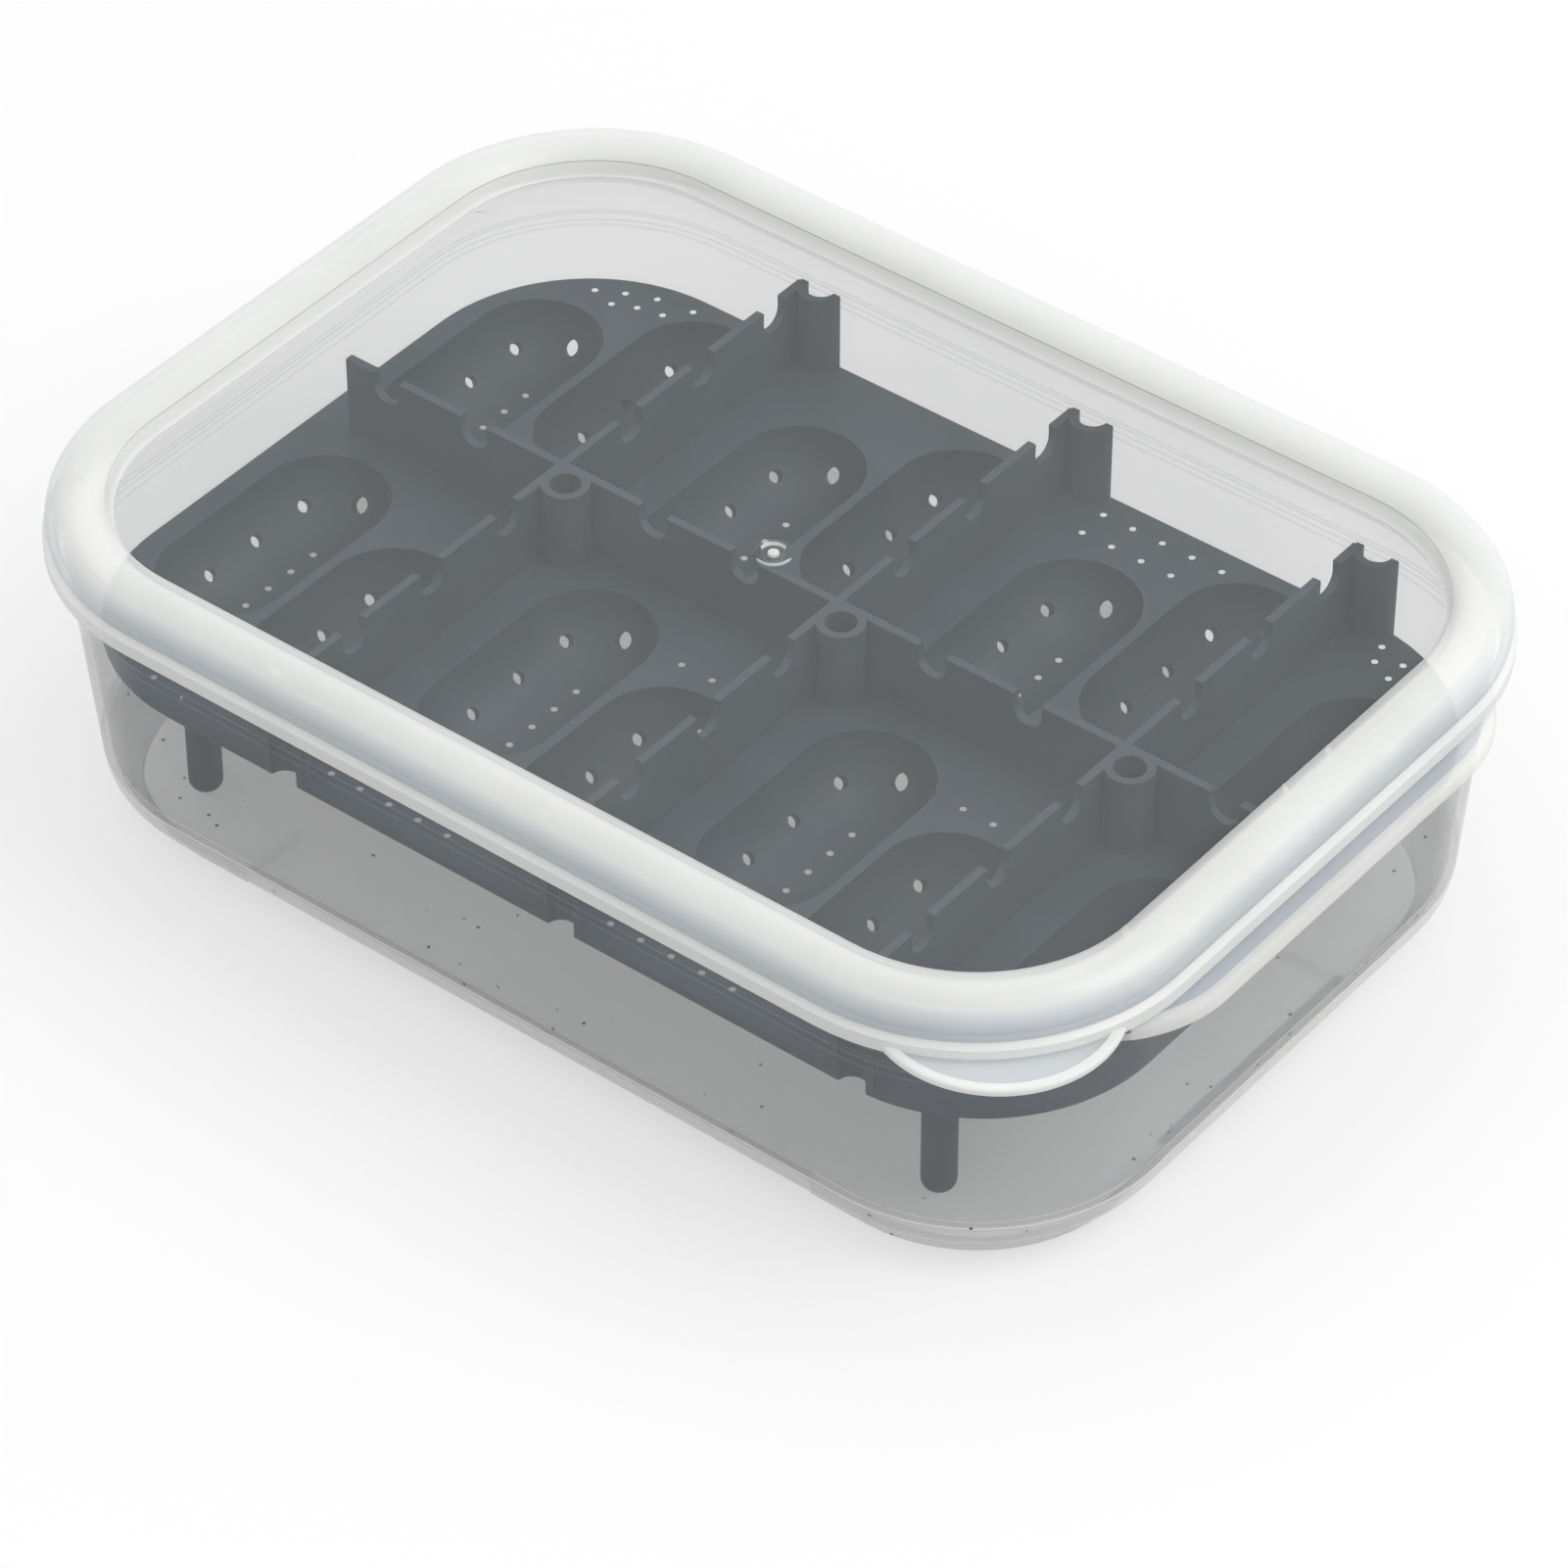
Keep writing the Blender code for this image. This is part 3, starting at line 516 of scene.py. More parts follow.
# the gloss edge on is a painted reflection: the wall's colour whitens where it is seen slanted
# How much more one face hides in the base band, its line, the inner step, a speck and edge on
BAND_HAZE, LINE_HAZE, STEP_HAZE, SPECK_HAZE, GLOSS_HAZE = 0.28, 0.34, 0.14, 0.7, 0.40
GLOSS_FROM = 0.66                     # how slanted a face is seen where its gloss sets in
RIM_Y = CONTAINER_HIGH.y
RIM_TOP = CONTAINER_HIGH.z
LIP_REACH = 2.8 * MM                  # the lid's lip beyond the container's rim
BODY_WALL_TOP = 44.0 * MM
TAPER_X, TAPER_Y, TAPER_RADIUS = 1.7 * MM, 3.4 * MM, 1.6 * MM
BASE_PLATE = 1.1 * MM                 # thickness of the base
STEP_LOW, STEP_HEIGHT = 37.0 * MM, 1.6 * MM
GRIP_TOP = LID_LOW.z - 0.3 * MM
GRIP_DEPTH = 2.8 * MM
GRIP_PLATE = 1.6 * MM
GRIP_ROLL = 1.3 * MM                  # radius of the grip's rolled upper edge
GRIP_BAND = 1.9 * MM                  # width of the rolled band seen from above
FOOT_INSET, FOOT_WIDTH = 1.4 * MM, 11.0 * MM
FOOT_RUN_X, FOOT_RUN_Y = 9.0 * MM, 10.0 * MM
FOOT_ROUND, FOOT_ROOT = 0.9 * MM, 0.4 * MM
GRIP_ROOT, GRIP_LOWER_ROUND, GRIP_WEB = 0.5 * MM, 0.4 * MM, 1.3 * MM
ROOM_OVER = 0.8 * MM                  # how far the inside cutter stands past the grips
# rim and rolled grip edges in painted highlight white, the grip's flat in painted shade grey, the
# wall's painted highlight and reflection white, and the real dark grey of moulding specks
RIM_HIGHLIGHT_WHITE, GRIP_SHADE_GREY, PAINTED_HIGHLIGHT_WHITE, SPECK_GREY = "#F1F1EE", "#DDE5EC", "#F6F6F4", "#3A3C40"
WALL_FACE, THICK_FACE, UNDER_FACE, GRIP_FACE = range(4)


class BREEDING_BOX_OT_container(bpy.types.Operator):
    """Model the frosted container with its feet and end grips"""
    bl_idname = "breeding_box.container"
    bl_label = "Container"

    def execute(self, context):
        sizes = context.scene.breeding_container
        self.rim_x = LID_HIGH.x - LIP_REACH
        self.axis_x = self.rim_x - sizes.rim_radius
        self.axis_y = RIM_Y - sizes.rim_radius
        self.fillet_top = sizes.foot + sizes.fillet
        shell = self.shell(sizes)
        extras = [self.foot(sizes, side_x, side_y) for side_x in (-1, 1) for side_y in (-1, 1)]
        extras += [self.grip(sizes, side) for side in (-1, 1)]
        combine(shell, group(extras), "UNION")
        combine(shell, self.hollow(sizes), "DIFFERENCE")
        smooth(shell)
        wall = frosted_wall(sizes.plastic, sizes.opacity, sizes.foot, self.fillet_top)
        # thick rim and rolled grip edges are denser and painted highlight white; the flat grip is
        # painted shade grey
        thick = frosted_polypropylene("thick", linear(RIM_HIGHLIGHT_WHITE), sizes.thick_opacity)
        under = frosted_polypropylene("under", sizes.plastic, sizes.under_opacity)
        grip = frosted_polypropylene("grip", linear(GRIP_SHADE_GREY), sizes.grip_opacity)
        finish_piece(shell, "container_moulding", [wall, thick, under, grip], "box",
                     "container")
        self.part_materials(shell, sizes)
        return {"FINISHED"}

    def part_materials(self, shell, sizes):
        """Rim and grip edges are thick, in painted highlight white; the grip's flat in painted
        shade grey; base and feet hide little from below.
        """
        bend_x = CONTAINER_HIGH.x - sizes.grip_corner
        bend_y = sizes.grip_length / 2 - sizes.grip_corner
        foot_reach = sizes.rim_radius - TAPER_RADIUS - (sizes.fillet - FOOT_INSET)
        for face in shell.data.polygons:
            place, normal = face.center, face.normal
            out_x, out_y = abs(place.x) - bend_x, max(0.0, abs(place.y) - bend_y)
            on_grip = (abs(place.x) > self.rim_x + 0.3 * MM
                       and place.z > GRIP_TOP - GRIP_DEPTH - TINY)
            rolled = math.hypot(max(0.0, out_x), out_y) > sizes.grip_corner - GRIP_BAND
            side_x = max(0.0, abs(place.x) - self.axis_x)
            side_y = max(0.0, abs(place.y) - self.axis_y + TAPER_Y - TAPER_RADIUS)
            outer = math.hypot(side_x, side_y) > foot_reach - FOOT_ROUND
            if on_grip and rolled or place.z > RIM_TOP - sizes.rim_wall:
                face.material_index = THICK_FACE
            elif on_grip:
                face.material_index = GRIP_FACE
            elif place.z < sizes.foot + TINY and not (outer and normal.z > -0.5):
                face.material_index = UNDER_FACE
            else:
                face.material_index = WALL_FACE

    def lean(self, ring):
        """Draw the walls in towards the base, more across the box than along it."""
        for vert in ring.data.vertices:
            place = vert.co
            drop = (BODY_WALL_TOP - place.z) / (BODY_WALL_TOP - self.fillet_top)
            drop = min(1.0, max(0.0, drop))
            if abs(place.x) > TINY:
                place.x -= math.copysign((TAPER_X - TAPER_RADIUS) * drop, place.x)
            if abs(place.y) > TINY:
                place.y -= math.copysign((TAPER_Y - TAPER_RADIUS) * drop, place.y)

    def shell(self, sizes):
        """Walls, base fillet and rim as one skin."""
        radius, thin = sizes.rim_radius, sizes.rim_wall
        foot_radius = radius - TAPER_RADIUS
        flat = foot_radius - sizes.fillet
        low, base = self.fillet_top, sizes.foot
        inner = sizes.fillet - sizes.wall
        step_rise = low - (base + BASE_PLATE)
        profile = arc(flat, low, sizes.fillet, -90, 0, 10)
        profile += [(radius, BODY_WALL_TOP)]
        profile += arc(radius - thin / 2, RIM_TOP - thin / 2, thin / 2, 0, 180, 6)
        profile += [(radius - thin, STEP_LOW + STEP_HEIGHT)]
        lean_step = TAPER_RADIUS * (BODY_WALL_TOP - STEP_LOW) / (BODY_WALL_TOP - low)
        profile += [(radius - sizes.wall - lean_step, STEP_LOW)]
        under = arc(0.0, 0.0, 1.0, 0, -90, 10)
        profile += [(flat + inner * out, low + step_rise * up) for out, up in under]
        shell = spun_ring("container_shell", profile, self.axis_x, self.axis_y, 20)
        cap(shell, lambda co: co.z < base + BASE_PLATE / 2, 0.8 * MM)
        cap(shell, lambda co: True, 0.8 * MM)
        self.lean(shell)
        close_ring(shell)
        return shell

    def foot(self, sizes, side_x, side_y):
        """Band under one corner of the base, with soft edges."""
        pull = sizes.fillet - FOOT_INSET
        half_x = self.rim_x - TAPER_X - pull
        half_y = RIM_Y - TAPER_Y - pull
        radius = sizes.rim_radius - TAPER_RADIUS - pull
        axis_x, axis_y = half_x - radius, half_y - radius
        start_clean()
        bpy.ops.mesh.primitive_plane_add(size=MM, location=(half_x - FOOT_WIDTH, axis_y, 0.0))
        foot = seat("foot")
        edit(foot)
        bpy.ops.mesh.select_all(action="SELECT")
        bpy.ops.mesh.merge(type="CENTER")
        extrude(x=FOOT_WIDTH)
        bpy.ops.mesh.select_all(action="SELECT")
        bpy.ops.mesh.spin(steps=14, angle=QUARTER, center=(axis_x, axis_y, 0.0),
                          axis=(0.0, 0.0, -1.0))
        extrude(x=-FOOT_RUN_X)
        choose("VERT", lambda v: abs(v.co.y - axis_y) < TINY and v.co.x > axis_x + TINY)
        extrude(y=-FOOT_RUN_Y)
        bpy.ops.mesh.select_all(action="SELECT")
        extrude(z=sizes.foot + FOOT_ROOT)
        bpy.ops.mesh.select_all(action="SELECT")
        bpy.ops.mesh.normals_make_consistent(inside=False)
        bpy.ops.object.mode_set(mode="OBJECT")
        bevel_edges(foot, lambda e: e.calc_face_angle(0.0) > SHARP
                    and all(v.co.z < TINY for v in e.verts), FOOT_ROUND, 3)
        return to_side(foot, side_x, side_y)

    def grip(self, sizes, side):
        """Flat grip with a rolled outer edge; its root is trimmed by the hollow."""
        reach = CONTAINER_HIGH.x
        inner = reach - sizes.grip_corner - GRIP_ROOT
        half = sizes.grip_length / 2
        low = GRIP_TOP - GRIP_DEPTH
        grip = block("grip", (inner, -half, low), (reach, half, GRIP_TOP))
        bevel_edges(grip, lambda e: all(v.co.x > reach - TINY for v in e.verts)
                    and abs(e.verts[0].co.z - e.verts[1].co.z) > MM, sizes.grip_corner, 20)
        edit(grip)
        choose("FACE", lambda f: f.normal.z < -0.9)
        bpy.ops.mesh.inset(thickness=GRIP_WEB)
        move(z=GRIP_DEPTH - GRIP_PLATE)
        bpy.ops.object.mode_set(mode="OBJECT")
        for at, width, segments in ((GRIP_TOP, GRIP_ROLL, 5), (low, GRIP_LOWER_ROUND, 3)):
            bevel_edges(grip, lambda e: e.calc_face_angle(0.0) > SHARP
                        and all(abs(v.co.z - at) < TINY for v in e.verts)
                        and max(v.co.x for v in e.verts) > inner + MM, width, segments)
        return to_side(grip, side)

    def hollow(self, sizes):
        """Room inside the rim, which trims the grips' roots."""
        return spun_block(sizes.rim_radius - sizes.rim_wall, GRIP_TOP - GRIP_DEPTH - ROOM_OVER,
                          GRIP_TOP + ROOM_OVER, self.axis_x, self.axis_y)


# Lid

BEAD_Z = 48.7 * MM
BEAD_INSET = 2.3 * MM
SKIRT_OFFSET, SKIRT_DROP = 3.95 * MM, 1.9 * MM
LIP_WIDTH, LIP_ROUND = 1.15 * MM, 0.35 * MM
PANEL_EDGE = 5.4 * MM                 # panel's edge inside the bead's middle line
# Outline from the groove round the panel up to the bead: outwards from the edge, and up
PANEL_STEP = ((-2.6 * MM, 0.0), (-2.2 * MM, -0.12 * MM), (-0.3 * MM, -0.12 * MM),
              (0.2 * MM, 0.1 * MM), (0.7 * MM, 0.6 * MM))
BEAD_LINE = 0.18 * MM                 # depth of the fine line on the bead's inner side
TAB_DIAGONAL, TAB_THICKNESS = 22.6 * MM, 1.3 * MM
TAB_RIM, TAB_SINK = 1.5 * MM, 0.45 * MM
TAB_ROUND, TAB_RIM_TOP, TAB_SLOPE = 0.5 * MM, 0.8 * MM, 0.25 * MM
# cool grey: painted shade on the bead's skirt, and the tone of the thin tab
SKIRT_SHADE_AND_TAB_GREY = "#DCE5EE"
GATE_RADIUS, GATE_RING, GATE_HEIGHT = 2.65 * MM, 0.7 * MM, 0.5 * MM
NUB_RADIUS = 0.95 * MM
GATE_HIGHLIGHT_SIDE = Vector((0.62, -0.785, 0.0))
PANEL_FACE, BEAD_FACE, EDGE_FACE, TAB_FACE, SKIRT_FACE = range(5)


class BREEDING_BOX_OT_lid(bpy.types.Operator):
    """Model the milky lid with its hollow bead, panel, lip and pull tab"""
    bl_idname = "breeding_box.lid"
    bl_label = "Lid"

    def execute(self, context):
        sizes = context.scene.breeding_lid
        corner = context.scene.breeding_container.rim_radius
        self.corner = corner - BEAD_INSET
        self.axis_x = LID_HIGH.x - LIP_REACH - corner
        self.axis_y = RIM_Y - corner
        lid = self.skin(sizes)
        combine(lid, self.tab(sizes), "UNION")
        combine(lid, self.rim_room(sizes), "DIFFERENCE")
        combine(lid, self.gate(), "UNION")
        smooth(lid, 28)
        panel = milky_polyethylene("panel", sizes.plastic, sizes.panel_opacity, 0.18)
        bead = milky_polyethylene("bead", sizes.plastic, sizes.bead_opacity)
        edge = milky_polyethylene("edge", sizes.plastic, sizes.edge_opacity)
        tab = milky_polyethylene("tab", linear(SKIRT_SHADE_AND_TAB_GREY), sizes.tab_opacity, 0.35)
        skirt = milky_skirt(sizes.plastic, linear(SKIRT_SHADE_AND_TAB_GREY), sizes.bead_opacity,
                            sizes.skirt_opacity)
        finish_piece(lid, "lid_moulding", [panel, bead, edge, tab, skirt], "lid",
                     "lid")
        self.part_materials(lid, sizes)
        return {"FINISHED"}

    def skin(self, sizes):
        """Panel, bead, skirt and lip as one skin."""
        bead, wall, corner = sizes.bead, sizes.wall, self.corner
        hollow = bead - wall
        crease = BEAD_Z - SKIRT_DROP
        lip_low = LID_LOW.z
        skirt = corner + SKIRT_OFFSET
        edge = corner - PANEL_EDGE
        profile = [(edge + out, BEAD_Z + up) for out, up in PANEL_STEP]
        profile += arc(corner, BEAD_Z, bead - BEAD_LINE, 162, 146, 2)
        profile += arc(corner, BEAD_Z, bead, 143, -16, 20)
        profile += [(skirt + 0.15 * MM, crease + 0.25 * MM), (skirt + 0.2 * MM, crease)]
        lip = skirt + LIP_WIDTH
        profile += [(lip - LIP_ROUND, crease - 0.25 * MM), (lip, crease - 0.6 * MM)]
        profile += arc(lip - LIP_ROUND, lip_low + LIP_ROUND, LIP_ROUND, 0, -90, 3)
        inner = skirt - wall
        profile += [(inner, lip_low), (inner, crease)]
        profile += arc(corner, BEAD_Z, hollow, -14, 180, 20)
        profile += [(corner - hollow - 0.4 * MM, BEAD_Z - wall)]
        profile += [(edge + PANEL_STEP[0][0], BEAD_Z - wall)]
        skin = spun_ring("lid_skin", profile, self.axis_x, self.axis_y, 20)
        cap(skin, lambda co: co.z > BEAD_Z - wall / 2, 1.0 * MM)
        cap(skin, lambda co: True, 1.0 * MM)
        close_ring(skin)
        return skin

    def tab_place(self):
        """Middle of the tab, on the diagonal of the front right corner."""
        reach = TAB_DIAGONAL / math.sqrt(2)
        return self.axis_x + reach, -(self.axis_y + reach)

    def tab(self, sizes):
        """Round pull tab with a thick rolled edge at the front right corner."""
        low = LID_LOW.z
        tab = rod("tab", sizes.tab, low, low + TAB_THICKNESS, *self.tab_place(), 96)
        bevel_edges(tab, lambda e: e.calc_face_angle(0.0) > SHARP
                    and abs(e.verts[0].co.z - e.verts[1].co.z) < TINY, TAB_ROUND, 3)
        edit(tab)
        choose("FACE", lambda f: f.normal.z > 0.99)
        bpy.ops.mesh.inset(thickness=TAB_RIM_TOP)
        bpy.ops.mesh.inset(thickness=TAB_SLOPE, depth=-TAB_SINK)
        bpy.ops.object.mode_set(mode="OBJECT")
        return tab

    def rim_room(self, sizes):
        """Room for the container's rim inside the skirt."""
        return spun_block(self.corner + SKIRT_OFFSET - sizes.wall, LID_LOW.z - 1.0 * MM,
                          BEAD_Z - SKIRT_DROP, self.axis_x, self.axis_y)

    def gate(self):
        """Moulded ring and pin in the middle of the panel."""
        low, high = BEAD_Z - 0.4 * MM, BEAD_Z + GATE_HEIGHT
        ring = rod("gate", GATE_RADIUS, low, high, 0.0, 0.0, 48)
        edit(ring)
        choose("FACE", lambda f: f.normal.z > 0.99)
        bpy.ops.mesh.bevel(offset=0.2 * MM, segments=3, affect="EDGES")
        choose("FACE", lambda f: f.normal.z > 0.99)
        bpy.ops.mesh.inset(thickness=GATE_RING * 0.6)
        bpy.ops.mesh.inset(thickness=GATE_RING * 0.3, depth=-GATE_HEIGHT)
        bpy.ops.mesh.inset(thickness=GATE_RADIUS - GATE_RING * 1.05 - NUB_RADIUS)
        bpy.ops.mesh.inset(thickness=0.08 * MM, depth=GATE_HEIGHT * 0.7)
        bpy.ops.mesh.inset(thickness=0.3 * MM, depth=GATE_HEIGHT * 0.25)
        bpy.ops.object.mode_set(mode="OBJECT")
        return ring

    def part_materials(self, lid, sizes):
        """Clear panel, milky bead with a painted shade on its skirt, dense lip and tab rim; a
        painted highlight on the gate's near side.
        """
        edge = self.corner - PANEL_EDGE
        skirt = self.corner + SKIRT_OFFSET
        tab_x, tab_y = self.tab_place()
        for face in lid.data.polygons:
            place = face.center
            out_x, out_y = abs(place.x) - self.axis_x, abs(place.y) - self.axis_y
            radial = math.hypot(out_x, out_y) if min(out_x, out_y) > 0 else max(out_x, out_y)
            low = place.z < BEAD_Z - SKIRT_DROP + TINY
            on_skirt = radial > self.corner and not low
            tab_edge = math.hypot(place.x - tab_x, place.y - tab_y) > sizes.tab - TAB_RIM
            on_tab = radial > skirt + LIP_WIDTH
            from_gate = math.hypot(place.x, place.y)
            if from_gate < GATE_RADIUS + MM and place.z > BEAD_Z:
                # faces turned to this side get the dense white: a painted highlight on the gate's
                # near slope
                near = face.normal.dot(GATE_HIGHLIGHT_SIDE) > 0.45 and from_gate > NUB_RADIUS * 2
                bright = near or from_gate < NUB_RADIUS
                face.material_index = EDGE_FACE if bright else PANEL_FACE
            elif low and on_tab and not tab_edge:
                face.material_index = TAB_FACE
            elif on_skirt:
                face.material_index = SKIRT_FACE
            elif low and radial > skirt:
                face.material_index = EDGE_FACE
            else:
                on_bead = radial > edge + 0.6 * MM
                face.material_index = BEAD_FACE if on_bead else PANEL_FACE


# Egg tray

TRAY_TOP = 29.2 * MM
PLATE = 1.4 * MM
PLATE_RADIUS = 27.2 * MM
TROUGH_WALL = 1.2 * MM
TROUGH_SIDES = 40
ROOT = 0.4 * MM                       # how far raised forms reach up into the plate
BAY = 48.0 * MM
STAGGER_X, STAGGER_Y = 21.0 * MM, 9.8 * MM
BACK_START, FRONT_START = 5.6 * MM, -40.9 * MM
BAY_SHARES = (-1.5, -0.5, 0.5, 1.5)
LONG_Y = 4.3 * MM
LONG_END = 79.45 * MM
CELL = 14.0 * MM                      # the plate is cut into cells, so no face is large
CROSS_OFFSET = -16.5 * MM
SLOT_RADIUS, SLOT_DEPTH = 2.4 * MM, 4.3 * MM
SLOT_PITCH = BAY / 3
LONG_SLOTS = (-4.5, -3.5, -1.5, -0.5, 1.5, 2.5, 4.5)
CROSS_SLOTS = (18.5 * MM, -8.1 * MM)
TUBE_RADIUS, TUBE_BORE = 3.45 * MM, 2.25 * MM
LEG_RADIUS, LEG_X, LEG_Y = 2.45 * MM, 63.8 * MM, 46.0 * MM
SIDE_HOLE, SIDE_FIRST, SIDE_PITCH = 1.0 * MM, 14.0 * MM, 9.7 * MM
END_HOLE, END_ANGLE = 1.3 * MM, math.radians(38)
DROP_FIRST, DROP_PITCH, DROP_COUNT = 14.5 * MM, 4.75 * MM, 4
FLARE, FLARE_DROP = 1.9 * MM, 0.05 * MM   # air hole's widening below, and its overlap
PIN_DEPTH = 5.0 * MM                  # length of the cutters for side and end holes
OVERRUN = 1.0 * MM                    # how far cutters stand past what they cut
AIR_PITCH = 5.07                      # all air hole places are in millimetres
AIR_ROWS = ((15.8, 54.1, 5), (15.8, 49.1, 4), (15.8, -54.1, 5), (-32.4, -54.1, 5))
AIR_SINGLES = ((33.1, -7.6), (38.1, -7.6), (43.1, -7.6), (-9.9, -7.6), (-4.6, -7.6),
               (-58.4, 55), (-61.4, 51.7), (-64.4, 54.2), (-65.4, 50.8), (-68.9, 52.4),
               (-68.9, 49.2), (-72.9, 50.3), (62.6, 54.5), (63.6, 51.3), (67.1, 53),
               (67.1, 49.5), (-64.4, -54), (-58.4, -54.7))


class BREEDING_BOX_OT_tray(bpy.types.Operator):
    """Model the dark egg tray with troughs, dividers, tubes, legs and air holes"""
    bl_idname = "breeding_box.tray"
    bl_label = "Egg tray"

    def execute(self, context):
        sizes = context.scene.breeding_tray
        self.under = TRAY_TOP - PLATE
        self.crest = TRAY_HIGH.z
        tray = self.plate()
        combine(tray, group(self.raised_forms(sizes)), "UNION", True)
        combine(tray, group(self.hollows(sizes)), "DIFFERENCE", True)
        smooth(tray, 30)
        finish_piece(tray, "egg_tray_moulding", [slate_polystyrene(sizes.plastic)], "tray",
                     "egg_tray")
        return {"FINISHED"}

    def plate(self):
        """Flat plate with slightly round edges."""
        soft = 0.3 * MM
        radius = PLATE_RADIUS
        axis_x, axis_y = TRAY_HIGH.x - radius, TRAY_HIGH.y - radius
        profile = arc(radius - soft, self.under + soft, soft, -90, 0, 2)
        profile += arc(radius - soft, TRAY_TOP - soft, soft, 0, 90, 2)
        plate = spun_ring("plate", profile, axis_x, axis_y, 18)
        cap(plate, lambda co: co.z < self.under + soft / 2, 0.5 * MM)
        cap(plate, lambda co: True, 0.5 * MM)
        edit(plate)
        for axis, reach in ((0, TRAY_HIGH.x), (1, TRAY_HIGH.y)):
            for step in range(1, math.ceil(2 * reach / CELL)):
                cut, normal = [0.0] * 3, [0.0] * 3
                cut[axis], normal[axis] = step * CELL - reach, 1.0
                bpy.ops.mesh.select_all(action="SELECT")
                bpy.ops.mesh.bisect(plane_co=cut, plane_no=normal)
        bpy.ops.object.mode_set(mode="OBJECT")
        close_ring(plate)
        return plate

    def trough_places(self):
        """Front end of each trough's middle line."""
        for start, shift in ((BACK_START, STAGGER_Y), (FRONT_START, -STAGGER_Y)):
            for share in BAY_SHARES:
                yield share * BAY, start, True
            for share in BAY_SHARES[:-1]:
                yield share * BAY + STAGGER_X, start + shift, False

    def capsule(self, radius, inset, span, flat):
        """Lying round ended trough at the origin's bay, cut level at a height."""
        start_clean()
        half_step = math.pi / TROUGH_SIDES
        bpy.ops.mesh.primitive_uv_sphere_add(
            segments=TROUGH_SIDES, ring_count=20, radius=radius,
            rotation=(QUARTER, half_step, 0.0), location=(0.0, inset, TRAY_TOP))
        capsule = seat("capsule")
        edit(capsule)
        choose("FACE", lambda f: f.calc_center_median().y > inset)
        extrude(y=span)
        bpy.ops.mesh.select_all(action="SELECT")
        bpy.ops.mesh.bisect(plane_co=(0.0, 0.0, flat), plane_no=(0.0, 0.0, 1.0),
                            use_fill=True, clear_outer=True)
        bpy.ops.object.mode_set(mode="OBJECT")
        close_ring(capsule)
        return capsule

    def raised_forms(self, sizes):
        """Trough shells, dividers, tubes and legs."""
        span = sizes.trough_length - 2 * sizes.trough
        radius = sizes.trough + TROUGH_WALL
        shells = {first: self.capsule(radius, sizes.trough, span, self.under + root)
                  for first, root in ((True, ROOT), (False, ROOT * 1.4))}
        forms = [copied(shells[first], x=x, y=y) for x, y, first in self.trough_places()]
        for shell in shells.values():
            bpy.data.objects.remove(shell)
        half = sizes.divider / 2
        low = self.under + ROOT * 1.7
        forms.append(block("long", (-LONG_END, LONG_Y - half, low),
                           (LONG_END, LONG_Y + half, self.crest)))
        end = TRAY_HIGH.y - 0.4 * MM
        shift = TUBE_RADIUS - sizes.divider / 4
        tube = rod("tube", TUBE_RADIUS, low - ROOT * 0.4, self.crest, 0.0, 0.0, 32)
        for share in BAY_SHARES[1:]:
            x = share * BAY + CROSS_OFFSET
            forms.append(block("cross", (x - half, -end, low + ROOT * 0.2),
                               (x + half, end, self.crest)))
            for y in (LONG_Y - shift, TRAY_HIGH.y, -TRAY_HIGH.y):
                forms.append(copied(tube, x=x + shift, y=y))
        bpy.data.objects.remove(tube)
        foot = TRAY_LOW.z
        leg = rod("leg", LEG_RADIUS, foot, self.under + ROOT * 2.1, 0.0, 0.0, 28)
        bevel_edges(leg, lambda e: all(v.co.z < foot + TINY for v in e.verts), 1.9 * MM, 5)
        forms += [copied(leg, x=sx * LEG_X, y=sy * LEG_Y) for sx in (-1, 1) for sy in (-1, 1)]
        bpy.data.objects.remove(leg)
        return forms

    def hollows(self, sizes):
        """Everything that is cut away: troughs, slots, bores and air holes."""
        span = sizes.trough_length - 2 * sizes.trough
        well = self.capsule(sizes.trough, sizes.trough, span, TRAY_TOP + OVERRUN / 2)
        cuts = []
        pin = self.flared_pin(sizes.air_hole)
        side = self.pin(SIDE_HOLE, Vector((-1, 0, -1)))
        far = self.pin(END_HOLE, Vector((0, math.cos(END_ANGLE), -math.sin(END_ANGLE))))
        deep = sizes.trough + TROUGH_WALL / 2
        for x, y, first in self.trough_places():
            cuts.append(copied(well, x=x, y=y))
            for index in range(3):
                cuts.append(copied(side, x=x - deep / math.sqrt(2),
                                   y=y + SIDE_FIRST + index * SIDE_PITCH,
                                   z=TRAY_TOP - deep / math.sqrt(2)))
            cuts.append(copied(far, x=x, y=y + sizes.trough_length - sizes.trough
                               + deep * math.cos(END_ANGLE),
                               z=TRAY_TOP - deep * math.sin(END_ANGLE)))
            if first:
                for index in range(DROP_COUNT):
                    cuts.append(copied(pin, x=x - 1.0 * MM, y=y + DROP_FIRST + index * DROP_PITCH,
                                       z=TRAY_TOP - deep))
        cuts += [copied(pin, x=x, y=y, z=TRAY_TOP - PLATE / 2) for x, y in air_holes()]
        cuts += self.slots(sizes)
        for spare in (well, pin, side, far):
            bpy.data.objects.remove(spare)
        return cuts

    def pin(self, radius, along):
        """Round cutter through the origin, along a direction."""
        start_clean()
        turn = along.to_track_quat("Z", "Y").to_euler()
        bpy.ops.mesh.primitive_cylinder_add(vertices=16, radius=radius, depth=PIN_DEPTH,
                                            rotation=turn)
        return seat("pin")

